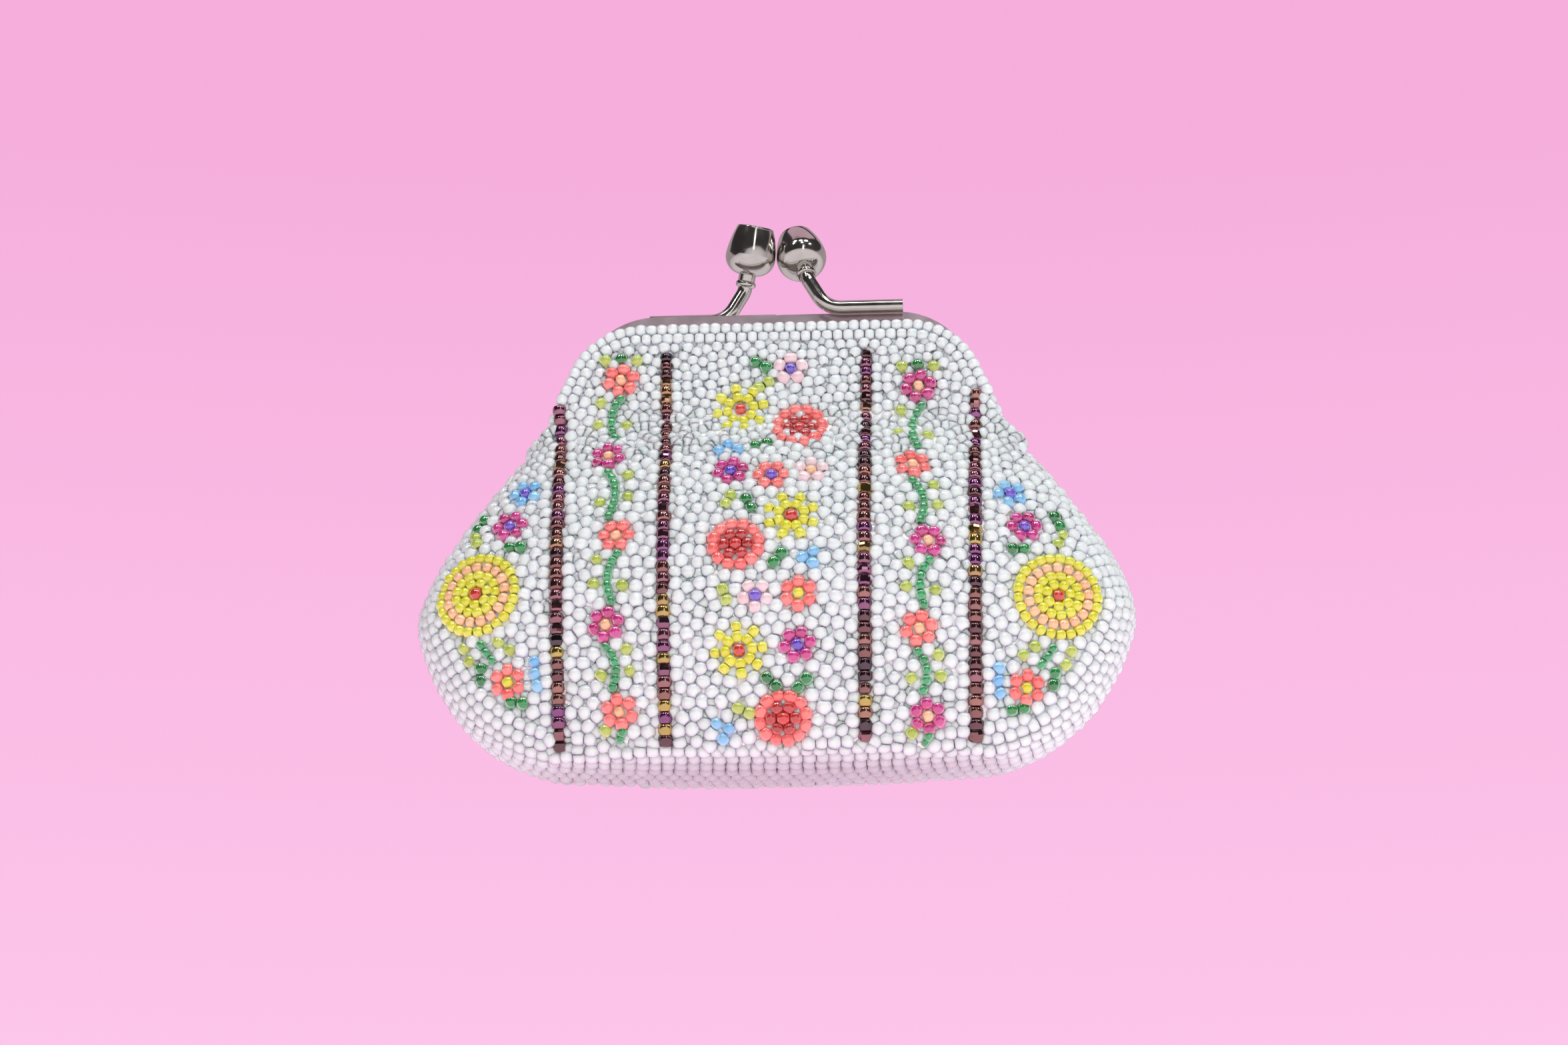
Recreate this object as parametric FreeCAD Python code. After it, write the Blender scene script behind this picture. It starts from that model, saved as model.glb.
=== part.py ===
"""Beaded kiss lock coin purse: a two-part metal frame with crossing clasp knobs and a beaded cloth pouch.

Millimetres, +Z up, +X to the right of someone facing the front, -Y towards them.
The origin is on the base, at the middle of the purse.
"""

import FreeCAD
import Part
import math
import os

from FreeCAD import Vector

# Pouch
body_width = 105.0
body_depth = 29.6
hinge_height = 54.5
side_round_share = 0.62
# Height, half width and half depth of the pouch's sections,
# as shares of hinge_height, body_width / 2 and body_depth / 2.
section_shares = [
    (0.000, 0.590, 0.45),
    (0.055, 0.735, 0.60),
    (0.134, 0.842, 0.72),
    (0.210, 0.906, 0.81),
    (0.285, 0.950, 0.88),
    (0.370, 0.985, 0.95),
    (0.460, 1.000, 1.00),
    (0.605, 0.947, 0.99),
    (0.760, 0.846, 0.87),
    (0.920, 0.729, 0.65),
    (1.000, 0.663, 0.53),
]

# Fabric layers, from the outside in
bead_layer = 2.0
cloth_thickness = 0.5
lining_thickness = 0.4
layer_gap = 0.05
pouch_layer_gap = 0.22

# Beadwork that stands out from the white ground
relief_height = 0.6
seam_band_width = 9.0
stripe_width = 2.3
stem_width = 1.4
daisy_diameter = 5.4
blossom_diameter = 8.2
rosette_diameter = 13.4
# Places on the front as shares of body_width / 2 and hinge_height.
# A stripe has its place across at the hinge line and at its foot, and its foot's height.
stripe_shares = [
    (-0.607, -0.587, 0.042),
    (-0.303, -0.293, 0.024),
    (0.259, 0.251, 0.024),
    (0.569, 0.550, 0.044),
]
# A vine has a daisy at each of its places, from the top down, and a stem between them.
vine_shares = [
    [(-0.432, 1.125), (-0.465, 0.892), (-0.430, 0.613), (-0.455, 0.356), (-0.419, 0.128)],
    [(0.408, 1.086), (0.390, 0.831), (0.430, 0.576), (0.402, 0.327), (0.421, 0.103)],
]
daisy_shares = [
    (-0.116, 0.807),
    (-0.002, 0.789),
    (0.109, 0.804),
    (0.074, 0.418),
    (-0.044, 0.415),
    (0.070, 0.283),
    (-0.735, 0.683),
    (-0.697, 0.789),
    (-0.730, 0.228),
    (0.697, 0.639),
    (0.659, 0.745),
    (0.691, 0.183),
]
blossom_shares = [
    (0.074, 0.965),
    (0.055, 0.650),
    (-0.097, 0.565),
    (-0.090, 0.272),
    (0.029, 0.095),
]
rosette_shares = [
    (-0.823, 0.477),
    (0.785, 0.433),
]

# Frame
frame_rise = 20.1
frame_flat_width = 36.0
shoulder_radius = 11.5
leg_slope = 23.0
crown_drop = 4.0
channel_depth = 4.6
channel_width = 4.5
sheet = 0.8
outer_wall_drop = 1.05
parting_gap = 0.2
opening_angle = 45.0

# Fabric edge and paper cord in the frame's channel
bead_edge_inset = 0.5
tuck_depth = 1.6
cord_clearance = 0.2

# Clasp
rod_diameter = 2.2
rod_reach = 19.2
rod_lift = 0.4
rod_seat_depth = 0.15
rod_bend_radius = 4.0
arm_rise = 5.0
arm_slant = 29.0
neck_bend_radius = 2.4
neck_length = 0.7
knob_diameter = 7.6
knob_top_diameter = 5.7
knob_belly_height = 2.9
knob_height = 7.4
knob_edge_radius = 0.35
knob_bulge = 0.12
knob_foot_diameter = 2.6
knob_lean = 23.5
knob_tilt = 12.0
kiss_gap = 0.2
collar_diameter = 3.1
collar_neck_diameter = 2.6
collar_height = 1.9
spigot_diameter = 1.4
spigot_depth = 2.0
solder_gap = 0.02

# Hinges
hinge_inset = 2.1
ear_radius = 2.8
ear_thickness = 0.9
ear_gap = 0.1
ear_tail = 6.0
rivet_diameter = 2.0
rivet_head_diameter = 3.4
rivet_head_height = 0.5
running_clearance = 0.04

# Room left for the motion
fold_clearance = 0.4
hinge_room = 0.5

# How far a cutting shape runs past what it cuts
overrun = 5.0

# Places worked out from the sizes above
half_width = body_width / 2
half_depth = body_depth / 2
frame_top = hinge_height + frame_rise
pouch_top = hinge_height - fold_clearance
slope = math.radians(leg_slope)
channel_near = parting_gap / 2
channel_far = channel_near + channel_width
cloth_near = channel_far + layer_gap
cloth_far = cloth_near + cloth_thickness
bead_near = cloth_far + layer_gap
bead_far = bead_near + bead_layer
lining_far = channel_far - layer_gap
lining_near = lining_far - lining_thickness
hem_top = outer_wall_drop - layer_gap - cloth_thickness
lining_inset = channel_depth + layer_gap
leg_foot = frame_flat_width / 2 + shoulder_radius * math.cos(slope)
shoulder_drop = shoulder_radius * (1 - math.sin(slope))
hinge_half_width = leg_foot + (frame_rise - shoulder_drop) * math.tan(slope)
front_ear_out = hinge_half_width - hinge_inset
front_ear_in = front_ear_out - ear_thickness
rear_ear_out = front_ear_in - ear_gap
rear_ear_in = rear_ear_out - ear_thickness

ACROSS = Vector(1, 0, 0)
UP = Vector(0, 0, 1)
BACK = Vector(0, 1, 0)
HINGE = Vector(0, 0, hinge_height)


def turned(shape):
    """The shape turned half round about the vertical axis, from the front to the rear."""
    copy = shape.copy()
    copy.rotate(Vector(0, 0, 0), UP, 180)
    return copy


def box_between(low, high):
    """A box from its lowest to its highest corner."""
    size = high - low
    return Part.makeBox(size.x, size.y, size.z, low)


def rod_between(radius, start, end):
    """A round bar from one point to another."""
    return Part.makeCylinder(radius, (end - start).Length, start, end - start)


def one_solid(shape):
    """The single solid of a shape, with the seams of its joins removed."""
    solids = shape.removeSplitter().Solids
    assert len(solids) == 1, f"{len(solids)} solids where one was meant"
    return solids[0]


# Frame arch


def arch_points(inset, drop):
    """The right half of the frame's outline, from the crown to the leg's end.

    It is moved inwards by inset, and its crown lies lower by drop as well.
    """
    radius = shoulder_radius - inset
    flat = frame_flat_width / 2 + drop * math.tan(slope)
    centre = Vector(flat, 0, frame_top - shoulder_radius - drop)
    halfway = (math.pi / 2 + slope) / 2
    crown = centre + UP * radius
    middle = centre + Vector(math.cos(halfway), 0, math.sin(halfway)) * radius
    leg_start = centre + Vector(math.cos(slope), 0, math.sin(slope)) * radius
    run = (leg_start.z - pouch_top) / math.cos(slope)
    leg_end = leg_start + Vector(math.sin(slope), 0, -math.cos(slope)) * run
    return crown, middle, leg_start, leg_end


def mirrored(point):
    """The same point on the left."""
    return Vector(-point.x, point.y, point.z)


def arch_edges(inset, drop):
    """The frame's outline from the left leg over the top to the right leg."""
    crown, middle, leg_start, leg_end = arch_points(inset, drop)
    left_crown, left_middle, left_start, left_end = map(mirrored, (crown, middle, leg_start, leg_end))
    return [
        Part.makeLine(left_end, left_start),
        Part.Arc(left_start, left_middle, left_crown).toShape(),
        Part.makeLine(left_crown, crown),
        Part.Arc(crown, middle, leg_start).toShape(),
        Part.makeLine(leg_start, leg_end),
    ]


def extruded(edges, near, far):
    """The closed outline as a solid at the front, from near to far in front of the parting plane."""
    face = Part.Face(Part.Wire(Part.__sortEdges__(edges)))
    face.translate(BACK * -far)
    return face.extrude(BACK * (far - near))


def arch(outer, inner, near, far, drop=crown_drop):
    """A band along the frame, between two insets of its outline, with the drop of its outer edge."""
    outer_end, inner_end = arch_points(outer, drop)[3], arch_points(inner, crown_drop)[3]
    closing = [
        Part.makeLine(outer_end, inner_end),
        Part.makeLine(mirrored(outer_end), mirrored(inner_end)),
    ]
    return extruded(arch_edges(outer, drop) + arch_edges(inner, crown_drop) + closing, near, far)


def panel(inset, near, far):
    """A flat panel that fills the frame, inside an inset of its outline."""
    end = arch_points(inset, crown_drop)[3]
    return extruded(arch_edges(inset, crown_drop) + [Part.makeLine(end, mirrored(end))], near, far)


def above_fold(lift):
    """The space at the front that stays above the hinge line when the frame is opened."""
    reach = half_depth + overrun
    climb = reach * math.tan(math.radians(opening_angle))
    low = hinge_height + lift
    ceiling = frame_top + body_width + climb
    corners = [
        Vector(-body_width, 0, low),
        Vector(-body_width, -reach, low + climb),
        Vector(-body_width, -reach, ceiling),
        Vector(-body_width, 0, ceiling),
    ]
    return Part.Face(Part.makePolygon(corners + corners[:1])).extrude(ACROSS * (2 * body_width))


MOVING_SPACE = above_fold(fold_clearance)
FOLDING_SPACE = above_fold(fold_clearance - layer_gap)
ABOVE_EARS = box_between(
    Vector(-body_width, -body_depth, hinge_height + ear_tail + layer_gap),
    Vector(body_width, 0, frame_top + overrun),
)


# Pouch


def section_size(height):
    """Half width and half depth of the pouch at a height, on a smooth curve through the shares."""
    heights = [share[0] * hinge_height for share in section_shares]
    last = len(heights) - 1
    if height >= heights[last]:
        return half_width * section_shares[last][1], half_depth * section_shares[last][2]
    k = max(i for i in range(last) if heights[i] <= height)
    step = heights[k + 1] - heights[k]
    t = (height - heights[k]) / step
    sizes = []
    for column, scale in ((1, half_width), (2, half_depth)):
        values = [share[column] * scale for share in section_shares]

        def tangent(i):
            before, after = max(i - 1, 0), min(i + 1, last)
            return (values[after] - values[before]) / (heights[after] - heights[before]) * step

        rise = (t * t * (3 - 2 * t), t * (1 - t) ** 2, t * t * (t - 1))
        sizes.append(
            values[k] + (values[k + 1] - values[k]) * rise[0] + tangent(k) * rise[1] + tangent(k + 1) * rise[2]
        )
    return sizes


def section_arcs(height):
    """Radius and centre of the right side arc and of the front arc of the pouch's outline at a height."""
    width, depth = section_size(height)
    side = side_round_share * depth
    crown = (width**2 - 2 * width * side + depth**2) / (2 * (depth - side))
    return side, Vector(width - side, 0, height), crown, Vector(0, crown - depth, height)


def section(height, inset):
    """The pouch's outline at a height: a long front and rear arc joined by tight side arcs."""
    width, depth = section_size(height)
    side, side_centre, crown, crown_centre = section_arcs(height)
    reach = (side_centre - crown_centre).normalize()
    touch = crown_centre + reach * (crown - inset)
    front_right, rear_right = touch, Vector(touch.x, -touch.y, height)
    front_left, rear_left = mirrored(front_right), mirrored(rear_right)
    tip, brow = Vector(width - inset, 0, height), Vector(0, depth - inset, height)
    arcs = [
        Part.Arc(front_left, Vector(0, -brow.y, height), front_right),
        Part.Arc(front_right, tip, rear_right),
        Part.Arc(rear_right, brow, rear_left),
        Part.Arc(rear_left, mirrored(tip), front_left),
    ]
    return Part.Wire([arc.toShape() for arc in arcs])


def pouch_body(inset, top):
    """The pouch as a full solid, moved inwards by inset, from its floor to the given height."""
    levels = [share[0] for share in section_shares]
    between = [(low + high) / 2 for low, high in zip(levels, levels[1:])]
    heights = [inset + (pouch_top - inset) * level for level in sorted(levels + between)]
    if top > pouch_top:
        heights.append(top)
    return Part.makeLoft([section(height, inset) for height in heights], True, False)


def boss(across, height, diameter):
    """A round bar through the pouch's front, square to it at a place across and a height."""
    side, side_centre, crown, crown_centre = section_arcs(height)
    touch = (side_centre - crown_centre).normalize() * crown
    if abs(across) <= touch.x:
        out = Vector(across, -math.sqrt(crown**2 - across**2), 0).normalize()
        place = crown_centre + out * crown
    else:
        run = abs(across) - side_centre.x
        out = Vector(run, -math.sqrt(side**2 - run**2), 0).normalize()
        place = side_centre + out * side
        if across < 0:
            out, place = mirrored(out), mirrored(place)
    return rod_between(diameter / 2, place - out * overrun, place + out * overrun)


def ribbon(start, end, width):
    """A plate through the pouch's front, along a line across its face."""
    edge = (end - start).cross(BACK).normalize() * (width / 2)
    corners = [start + edge, end + edge, end - edge, start - edge]
    return Part.Face(Part.makePolygon(corners + corners[:1])).extrude(BACK * -body_depth)


def on_face(across_share, height_share):
    """A place given by shares, on the plane between front and rear."""
    return Vector(across_share * half_width, 0, height_share * hinge_height)


def beadwork():
    """The space of the beads that stand out: rows along the seam, stripes, vines and flowers."""
    shapes = [box_between(
        Vector(-body_width, -seam_band_width / 2, -overrun),
        Vector(body_width, seam_band_width / 2, hinge_height),
    )]
    for high, low, foot in stripe_shares:
        shapes.append(ribbon(on_face(high, 1), on_face(low, foot), stripe_width))
    flowers = [(place, daisy_diameter) for place in daisy_shares]
    flowers += [(place, blossom_diameter) for place in blossom_shares]
    flowers += [(place, rosette_diameter) for place in rosette_shares]
    for vine in vine_shares:
        shapes += [ribbon(on_face(*a), on_face(*b), stem_width) for a, b in zip(vine, vine[1:])]
        flowers += [(place, daisy_diameter) for place in vine[1:]]
    for place, diameter in flowers:
        centre = on_face(*place)
        shapes.append(boss(centre.x, centre.z, diameter))
    return shapes[0].fuse(shapes[1:])


def bead_body():
    """The beaded outside of the pouch as a full solid: its white ground with the front's beadwork on it."""
    ground = pouch_body(relief_height, pouch_top)
    return one_solid(ground.fuse(pouch_body(0, pouch_top).common(beadwork())))


def pouch_layer(outer, inset):
    """The front half of one fabric layer of the pouch, from an outer shape to an inset, notched for the hinges."""
    shell = outer.cut(pouch_body(inset, pouch_top + overrun))
    reach = body_width
    front = box_between(Vector(-reach, -reach, -overrun), Vector(reach, 0, hinge_height + overrun))
    layer = shell.common(front)
    notch_start = rear_ear_in - rivet_head_height - hinge_room
    for side in (-1, 1):
        start, end = HINGE + ACROSS * (side * notch_start), HINGE + ACROSS * (side * reach)
        layer = layer.cut(rod_between(ear_radius + hinge_room, start, end))
    return one_solid(layer)


def fold_layer(inset, near, far):
    """The strip of one fabric layer that creases between the pouch and the frame when it opens."""
    strip = panel(inset, near, far).cut(FOLDING_SPACE)
    floor = box_between(
        Vector(-body_width, -body_depth, -overrun),
        Vector(body_width, body_depth, pouch_top + layer_gap),
    )
    return one_solid(strip.cut(floor))


def flap_layer(inset, near, far):
    """The part of one fabric layer that stays flat on the frame."""
    return panel(inset, near, far).common(MOVING_SPACE)


def flap_cloth():
    """The cloth on the frame's outer wall, with its edge turned over into the channel."""
    tuck_far = channel_far - sheet - layer_gap
    tuck_near = tuck_far - cloth_thickness
    face = panel(hem_top, cloth_near, cloth_far)
    hem = arch(hem_top, hem_top + cloth_thickness, tuck_near, cloth_far)
    tuck = arch(hem_top, hem_top + cloth_thickness + tuck_depth, tuck_near, tuck_far).common(ABOVE_EARS)
    return one_solid(face.fuse([hem, tuck]).common(MOVING_SPACE))


# Frame and hinges


def ears(inner, outer):
    """The two hinge plates of a frame half: a disc round the rivet and a tail up to the leg."""
    hole = rivet_diameter / 2 + running_clearance
    plates = []
    for side in (-1, 1):
        start, end = HINGE + ACROSS * (side * inner), HINGE + ACROSS * (side * outer)
        low, high = min(start.x, end.x), max(start.x, end.x)
        tail = box_between(
            Vector(low, -channel_far, hinge_height),
            Vector(high, -channel_near, hinge_height + ear_tail),
        )
        tail = tail.common(panel(outer_wall_drop, channel_near, channel_far)).common(MOVING_SPACE)
        plate = rod_between(ear_radius, start, end).fuse(tail)
        past = ACROSS * (side * overrun)
        plates.append(plate.cut(rod_between(hole, start - past, end + past)))
    return plates


def frame_channel(inner, outer):
    """A frame half: tall inner wall, floor and low outer wall bent from one strip, with its hinge ears."""
    inner_wall = arch(0, channel_depth, channel_near, channel_near + sheet, drop=0)
    floor = arch(channel_depth - sheet, channel_depth, channel_near, channel_far)
    outer_wall = arch(outer_wall_drop, channel_depth, channel_far - sheet, channel_far)
    strip = inner_wall.fuse([floor, outer_wall]).common(MOVING_SPACE).cut(hinge_room_rod())
    return one_solid(strip.fuse(ears(inner, outer)).cut(rod_seat()))


def paper_cord():
    """The twisted paper cord that wedges the cloth's edge in the channel, as a plain band."""
    near = channel_near + sheet + cord_clearance
    far = channel_far - sheet - layer_gap - cloth_thickness - cord_clearance
    band = arch(outer_wall_drop, channel_depth - sheet - cord_clearance, near, far)
    return one_solid(band.common(ABOVE_EARS))


def hinge_room_rod():
    """The round space along the hinge line that the ears turn in."""
    reach = ACROSS * body_width
    return rod_between(ear_radius + hinge_room, HINGE - reach, HINGE + reach)


def hinge_rivet(side):
    """The rivet of one hinge: a shank through both ears with a head on each end."""
    head_in, head_out = rear_ear_in - running_clearance, front_ear_out + running_clearance
    outline = [
        (0, head_in - rivet_head_height),
        (rivet_head_diameter / 2, head_in - rivet_head_height),
        (rivet_head_diameter / 2, head_in),
        (rivet_diameter / 2, head_in),
        (rivet_diameter / 2, head_out),
        (rivet_head_diameter / 2, head_out),
        (rivet_head_diameter / 2, head_out + rivet_head_height),
        (0, head_out + rivet_head_height),
    ]
    points = [Vector(side * along, 0, hinge_height + radius) for radius, along in outline]
    profile = Part.Face(Part.makePolygon(points + points[:1]))
    return profile.revolve(HINGE, ACROSS, 360)


# Clasp

CLASP_LEAN = Vector(-math.tan(math.radians(knob_tilt)), math.tan(math.radians(knob_lean)), 1).normalize()
ROD_HEIGHT = frame_top + rod_lift
ROD_PLACE = rod_seat_depth - channel_near - sheet - math.sqrt((rod_diameter / 2) ** 2 - rod_lift**2)
KNOB_SIDE = knob_diameter / 2 * math.sqrt(1 - CLASP_LEAN.x**2) + kiss_gap / 2


def clasp_corners():
    """The corners of the rod's line: where it turns up from the wall, and where the neck begins."""
    reach = neck_length + collar_height + knob_belly_height
    neck = Vector(KNOB_SIDE - CLASP_LEAN.x * reach, ROD_PLACE, ROD_HEIGHT + arm_rise)
    foot = Vector(neck.x + arm_rise * math.tan(math.radians(arm_slant)), ROD_PLACE, ROD_HEIGHT)
    return foot, neck


def along_clasp(height):
    """A point on the knob's axis, counted up from the knob's foot."""
    return clasp_corners()[1] + CLASP_LEAN * (neck_length + collar_height + height)


def on_clasp(shape):
    """Stands a shape, made upright on its own origin, on the knob's axis at the knob's foot."""
    shape.Placement = FreeCAD.Placement(along_clasp(0), FreeCAD.Rotation(UP, CLASP_LEAN))
    return shape


def revolved(points, edges=()):
    """A solid of revolution about the upright axis from outline points and ready-made edges."""
    lines = [Part.makeLine(a, b) for a, b in zip(points, points[1:]) if a != b]
    face = Part.Face(Part.Wire(Part.__sortEdges__(lines + list(edges))))
    return face.revolve(Vector(0, 0, 0), UP, 360)


def rod_seat():
    """The shallow groove in the inner wall's edge that the clasp's rod is soldered into."""
    start = Vector(rod_reach + solder_gap, ROD_PLACE, ROD_HEIGHT)
    end = Vector(0, ROD_PLACE, ROD_HEIGHT)
    return rod_between(rod_diameter / 2 + solder_gap, start, end)


def rounded_path(points, radii):
    """A line through the points with its inner corners rounded by arcs."""
    edges = []
    last = points[0]
    for before, corner, after, radius in zip(points, points[1:], points[2:], radii):
        back, ahead = (before - corner).normalize(), (after - corner).normalize()
        half = back.getAngle(ahead) / 2
        start, end = corner + back * (radius / math.tan(half)), corner + ahead * (radius / math.tan(half))
        middle = corner + (back + ahead).normalize() * (radius / math.sin(half) - radius)
        edges += [Part.makeLine(last, start), Part.Arc(start, middle, end).toShape()]
        last = end
    return Part.Wire(edges + [Part.makeLine(last, points[-1])])


def clasp_arm():
    """The bent rod of one clasp: along the inner wall, round the bends and up to the knob's spigot."""
    foot, neck = clasp_corners()
    start = Vector(rod_reach, ROD_PLACE, ROD_HEIGHT)
    shoulder = along_clasp(-collar_height)
    path = rounded_path([start, foot, neck, shoulder], [rod_bend_radius, neck_bend_radius])
    ring = Part.Wire(Part.makeCircle(rod_diameter / 2, start, ACROSS))
    rod = path.makePipeShell([ring], True, False)
    return one_solid(rod.fuse(rod_between(spigot_diameter / 2, shoulder, along_clasp(spigot_depth))))


def clasp_collar():
    """The ring under the knob: a narrow neck above a rounded bead, on the rod's spigot."""
    bore = spigot_diameter / 2 + solder_gap
    neck, rim = collar_neck_diameter / 2, collar_diameter / 2
    low, high = -collar_height + solder_gap, -solder_gap
    step = (low + high) / 2
    bead = Part.Arc(Vector(neck, 0, low), Vector(rim, 0, (low + step) / 2), Vector(neck, 0, step))
    points = [
        Vector(neck, 0, step),
        Vector(neck, 0, high),
        Vector(bore, 0, high),
        Vector(bore, 0, low),
        Vector(neck, 0, low),
    ]
    return on_clasp(revolved(points, [bead.toShape()]))


def clasp_knob():
    """The knob: a round belly that tapers to a flat top, with a blind hole for the rod's spigot."""
    belly, foot, top = knob_diameter / 2, knob_foot_diameter / 2, knob_top_diameter / 2
    bore = spigot_diameter / 2 + solder_gap
    bore_end = spigot_depth + solder_gap
    ease = math.sqrt(2) / 2
    under = Vector(foot + (belly - foot) * ease, 0, knob_belly_height * (1 - ease))
    cheek = knob_belly_height + (knob_height - knob_belly_height) / 2
    widest, shoulder = Vector(belly, 0, knob_belly_height), Vector(top, 0, knob_height - knob_edge_radius)
    bulge = Vector((belly + top) / 2 + knob_bulge, 0, cheek)
    rim = Vector(top - knob_edge_radius, 0, knob_height)
    corner = Vector(top - knob_edge_radius * (1 - ease), 0, knob_height - knob_edge_radius * (1 - ease))
    curves = [
        Part.Arc(Vector(foot, 0, 0), under, widest).toShape(),
        Part.Arc(widest, bulge, shoulder).toShape(),
        Part.Arc(shoulder, corner, rim).toShape(),
    ]
    points = [
        rim,
        Vector(0, 0, knob_height),
        Vector(0, 0, bore_end),
        Vector(bore, 0, bore_end),
        Vector(bore, 0, 0),
        Vector(foot, 0, 0),
    ]
    return on_clasp(revolved(points, curves))


def half_nodes(front_ears):
    """The pieces of one frame half, made at the front, by their plain names."""
    inner, outer = (front_ear_in, front_ear_out) if front_ears else (rear_ear_in, rear_ear_out)
    return {
        "frame_channel": frame_channel(inner, outer),
        "paper_cord": paper_cord(),
        "clasp_arm": clasp_arm(),
        "clasp_collar": clasp_collar(),
        "clasp_knob": clasp_knob(),
        "flap_beads": flap_layer(bead_edge_inset, bead_near, bead_far),
        "flap_cloth": flap_cloth(),
        "flap_lining": flap_layer(lining_inset, lining_near, lining_far),
    }


def pouch_nodes():
    """The pieces of the front half of the pouch, by their plain names."""
    cloth_start = bead_layer + pouch_layer_gap
    cloth_end = cloth_start + cloth_thickness
    lining_start = cloth_end + pouch_layer_gap
    lining_end = lining_start + lining_thickness
    return {
        "pouch_beads": pouch_layer(bead_body(), bead_layer),
        "pouch_cloth": pouch_layer(pouch_body(cloth_start, pouch_top), cloth_end),
        "pouch_lining": pouch_layer(pouch_body(lining_start, pouch_top), lining_end),
        "fold_beads": fold_layer(bead_edge_inset, bead_near, bead_far),
        "fold_cloth": fold_layer(hem_top, cloth_near, cloth_far),
        "fold_lining": fold_layer(lining_inset, lining_near, lining_far),
    }


def all_nodes():
    """Every piece of the purse by its node name."""
    nodes = {}
    pouch = pouch_nodes()
    for side, front in (("front", True), ("rear", False)):
        for name, shape in {**half_nodes(front), **pouch}.items():
            nodes[f"{side}_{name}"] = shape if front else turned(shape)
    nodes["hinge_rivet_left"] = hinge_rivet(-1)
    nodes["hinge_rivet_right"] = hinge_rivet(1)
    return nodes


def main():
    os.makedirs("parts", exist_ok=True)
    for name, shape in all_nodes().items():
        shape.exportStep(f"parts/{name}.step")
        print(f"{name}: {shape.Volume:.1f} mm3, valid {shape.isValid()}")


main()
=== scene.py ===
"""Looks of the beaded kiss lock purse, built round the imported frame.

Lengths are in millimetres until a mesh is made.
"""

import math

import bpy
import numpy as np
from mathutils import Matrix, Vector


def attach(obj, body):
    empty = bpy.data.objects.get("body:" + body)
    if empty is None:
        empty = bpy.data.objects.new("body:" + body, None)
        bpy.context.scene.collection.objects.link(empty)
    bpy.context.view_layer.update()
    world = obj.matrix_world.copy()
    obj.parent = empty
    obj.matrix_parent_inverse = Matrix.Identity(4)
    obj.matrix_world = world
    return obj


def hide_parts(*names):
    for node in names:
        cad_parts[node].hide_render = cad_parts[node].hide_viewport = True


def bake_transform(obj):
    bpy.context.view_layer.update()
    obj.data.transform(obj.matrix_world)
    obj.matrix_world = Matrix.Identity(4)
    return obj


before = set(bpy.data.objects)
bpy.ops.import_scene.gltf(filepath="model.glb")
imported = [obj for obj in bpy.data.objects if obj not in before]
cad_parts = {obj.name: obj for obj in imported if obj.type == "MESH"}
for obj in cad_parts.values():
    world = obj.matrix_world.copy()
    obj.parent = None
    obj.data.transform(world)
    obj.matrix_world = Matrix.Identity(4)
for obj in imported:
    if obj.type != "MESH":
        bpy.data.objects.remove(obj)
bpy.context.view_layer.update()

MM = 0.001
UP = np.array((0.0, 0.0, 1.0))

# The pouch and the flap, as in the part's source

BODY_WIDTH, BODY_DEPTH, HINGE_HEIGHT = 105.0, 29.6, 54.5
SIDE_ROUND_SHARE = 0.62
# Height, half width and half depth of the pouch's sections, as shares
SECTION_SHARES = np.array([
    (0.000, 0.590, 0.45),
    (0.055, 0.735, 0.60),
    (0.134, 0.842, 0.72),
    (0.210, 0.906, 0.81),
    (0.285, 0.950, 0.88),
    (0.370, 0.985, 0.95),
    (0.460, 1.000, 1.00),
    (0.605, 0.947, 0.99),
    (0.760, 0.846, 0.87),
    (0.920, 0.729, 0.65),
    (1.000, 0.663, 0.53),
])
FLOOR_RISE = 1.2
LEG_SLOPE = math.radians(23.0)
FLAP_CENTRE = (18.0 + 4.0 * math.tan(LEG_SLOPE), 59.1)
FLAP_RADIUS = 11.0
FLAP_FRONT = 7.2
FLAP_TOP = FLAP_CENTRE[1] + FLAP_RADIUS
# Between these heights the pouch's round section turns into the flat flap
FLAT_FROM, FLAT_TO = 49.0, 60.0
# How finely the surface is searched and walked on
SLOPE_STEP = 0.01
SETTLE_ROUNDS = 3
HALVINGS = 40
WALK_STEPS = 8


def smoothstep(t):
    t = np.clip(t, 0, 1)
    return t * t * (3 - 2 * t)


def unit(vectors):
    return vectors / np.linalg.norm(vectors, axis=-1, keepdims=True)


def section_size(height):
    """Half width and half depth of the pouch at a height, with a slightly crowned floor."""
    heights = SECTION_SHARES[:, 0] * HINGE_HEIGHT
    values = SECTION_SHARES[:, 1:] * (BODY_WIDTH / 2, BODY_DEPTH / 2)
    z = np.clip(height, FLOOR_RISE, HINGE_HEIGHT)
    slopes = np.empty_like(values)
    slopes[1:-1] = (values[2:] - values[:-2]) / (heights[2:] - heights[:-2])[:, None]
    slopes[0] = (values[1] - values[0]) / (heights[1] - heights[0])
    slopes[-1] = (values[-1] - values[-2]) / (heights[-1] - heights[-2])
    k = np.clip(np.searchsorted(heights, z, side="right") - 1, 0, len(heights) - 2)
    step = (heights[k + 1] - heights[k])[..., None]
    t = (z - heights[k])[..., None] / step
    size = values[k] + (values[k + 1] - values[k]) * t * t * (3 - 2 * t)
    size = size + slopes[k] * step * t * (1 - t) ** 2 + slopes[k + 1] * step * t * t * (t - 1)
    floor = np.sqrt(np.clip(height / FLOOR_RISE, 1e-4, 1))
    return size[..., 0] * floor, size[..., 1] * floor


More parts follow.
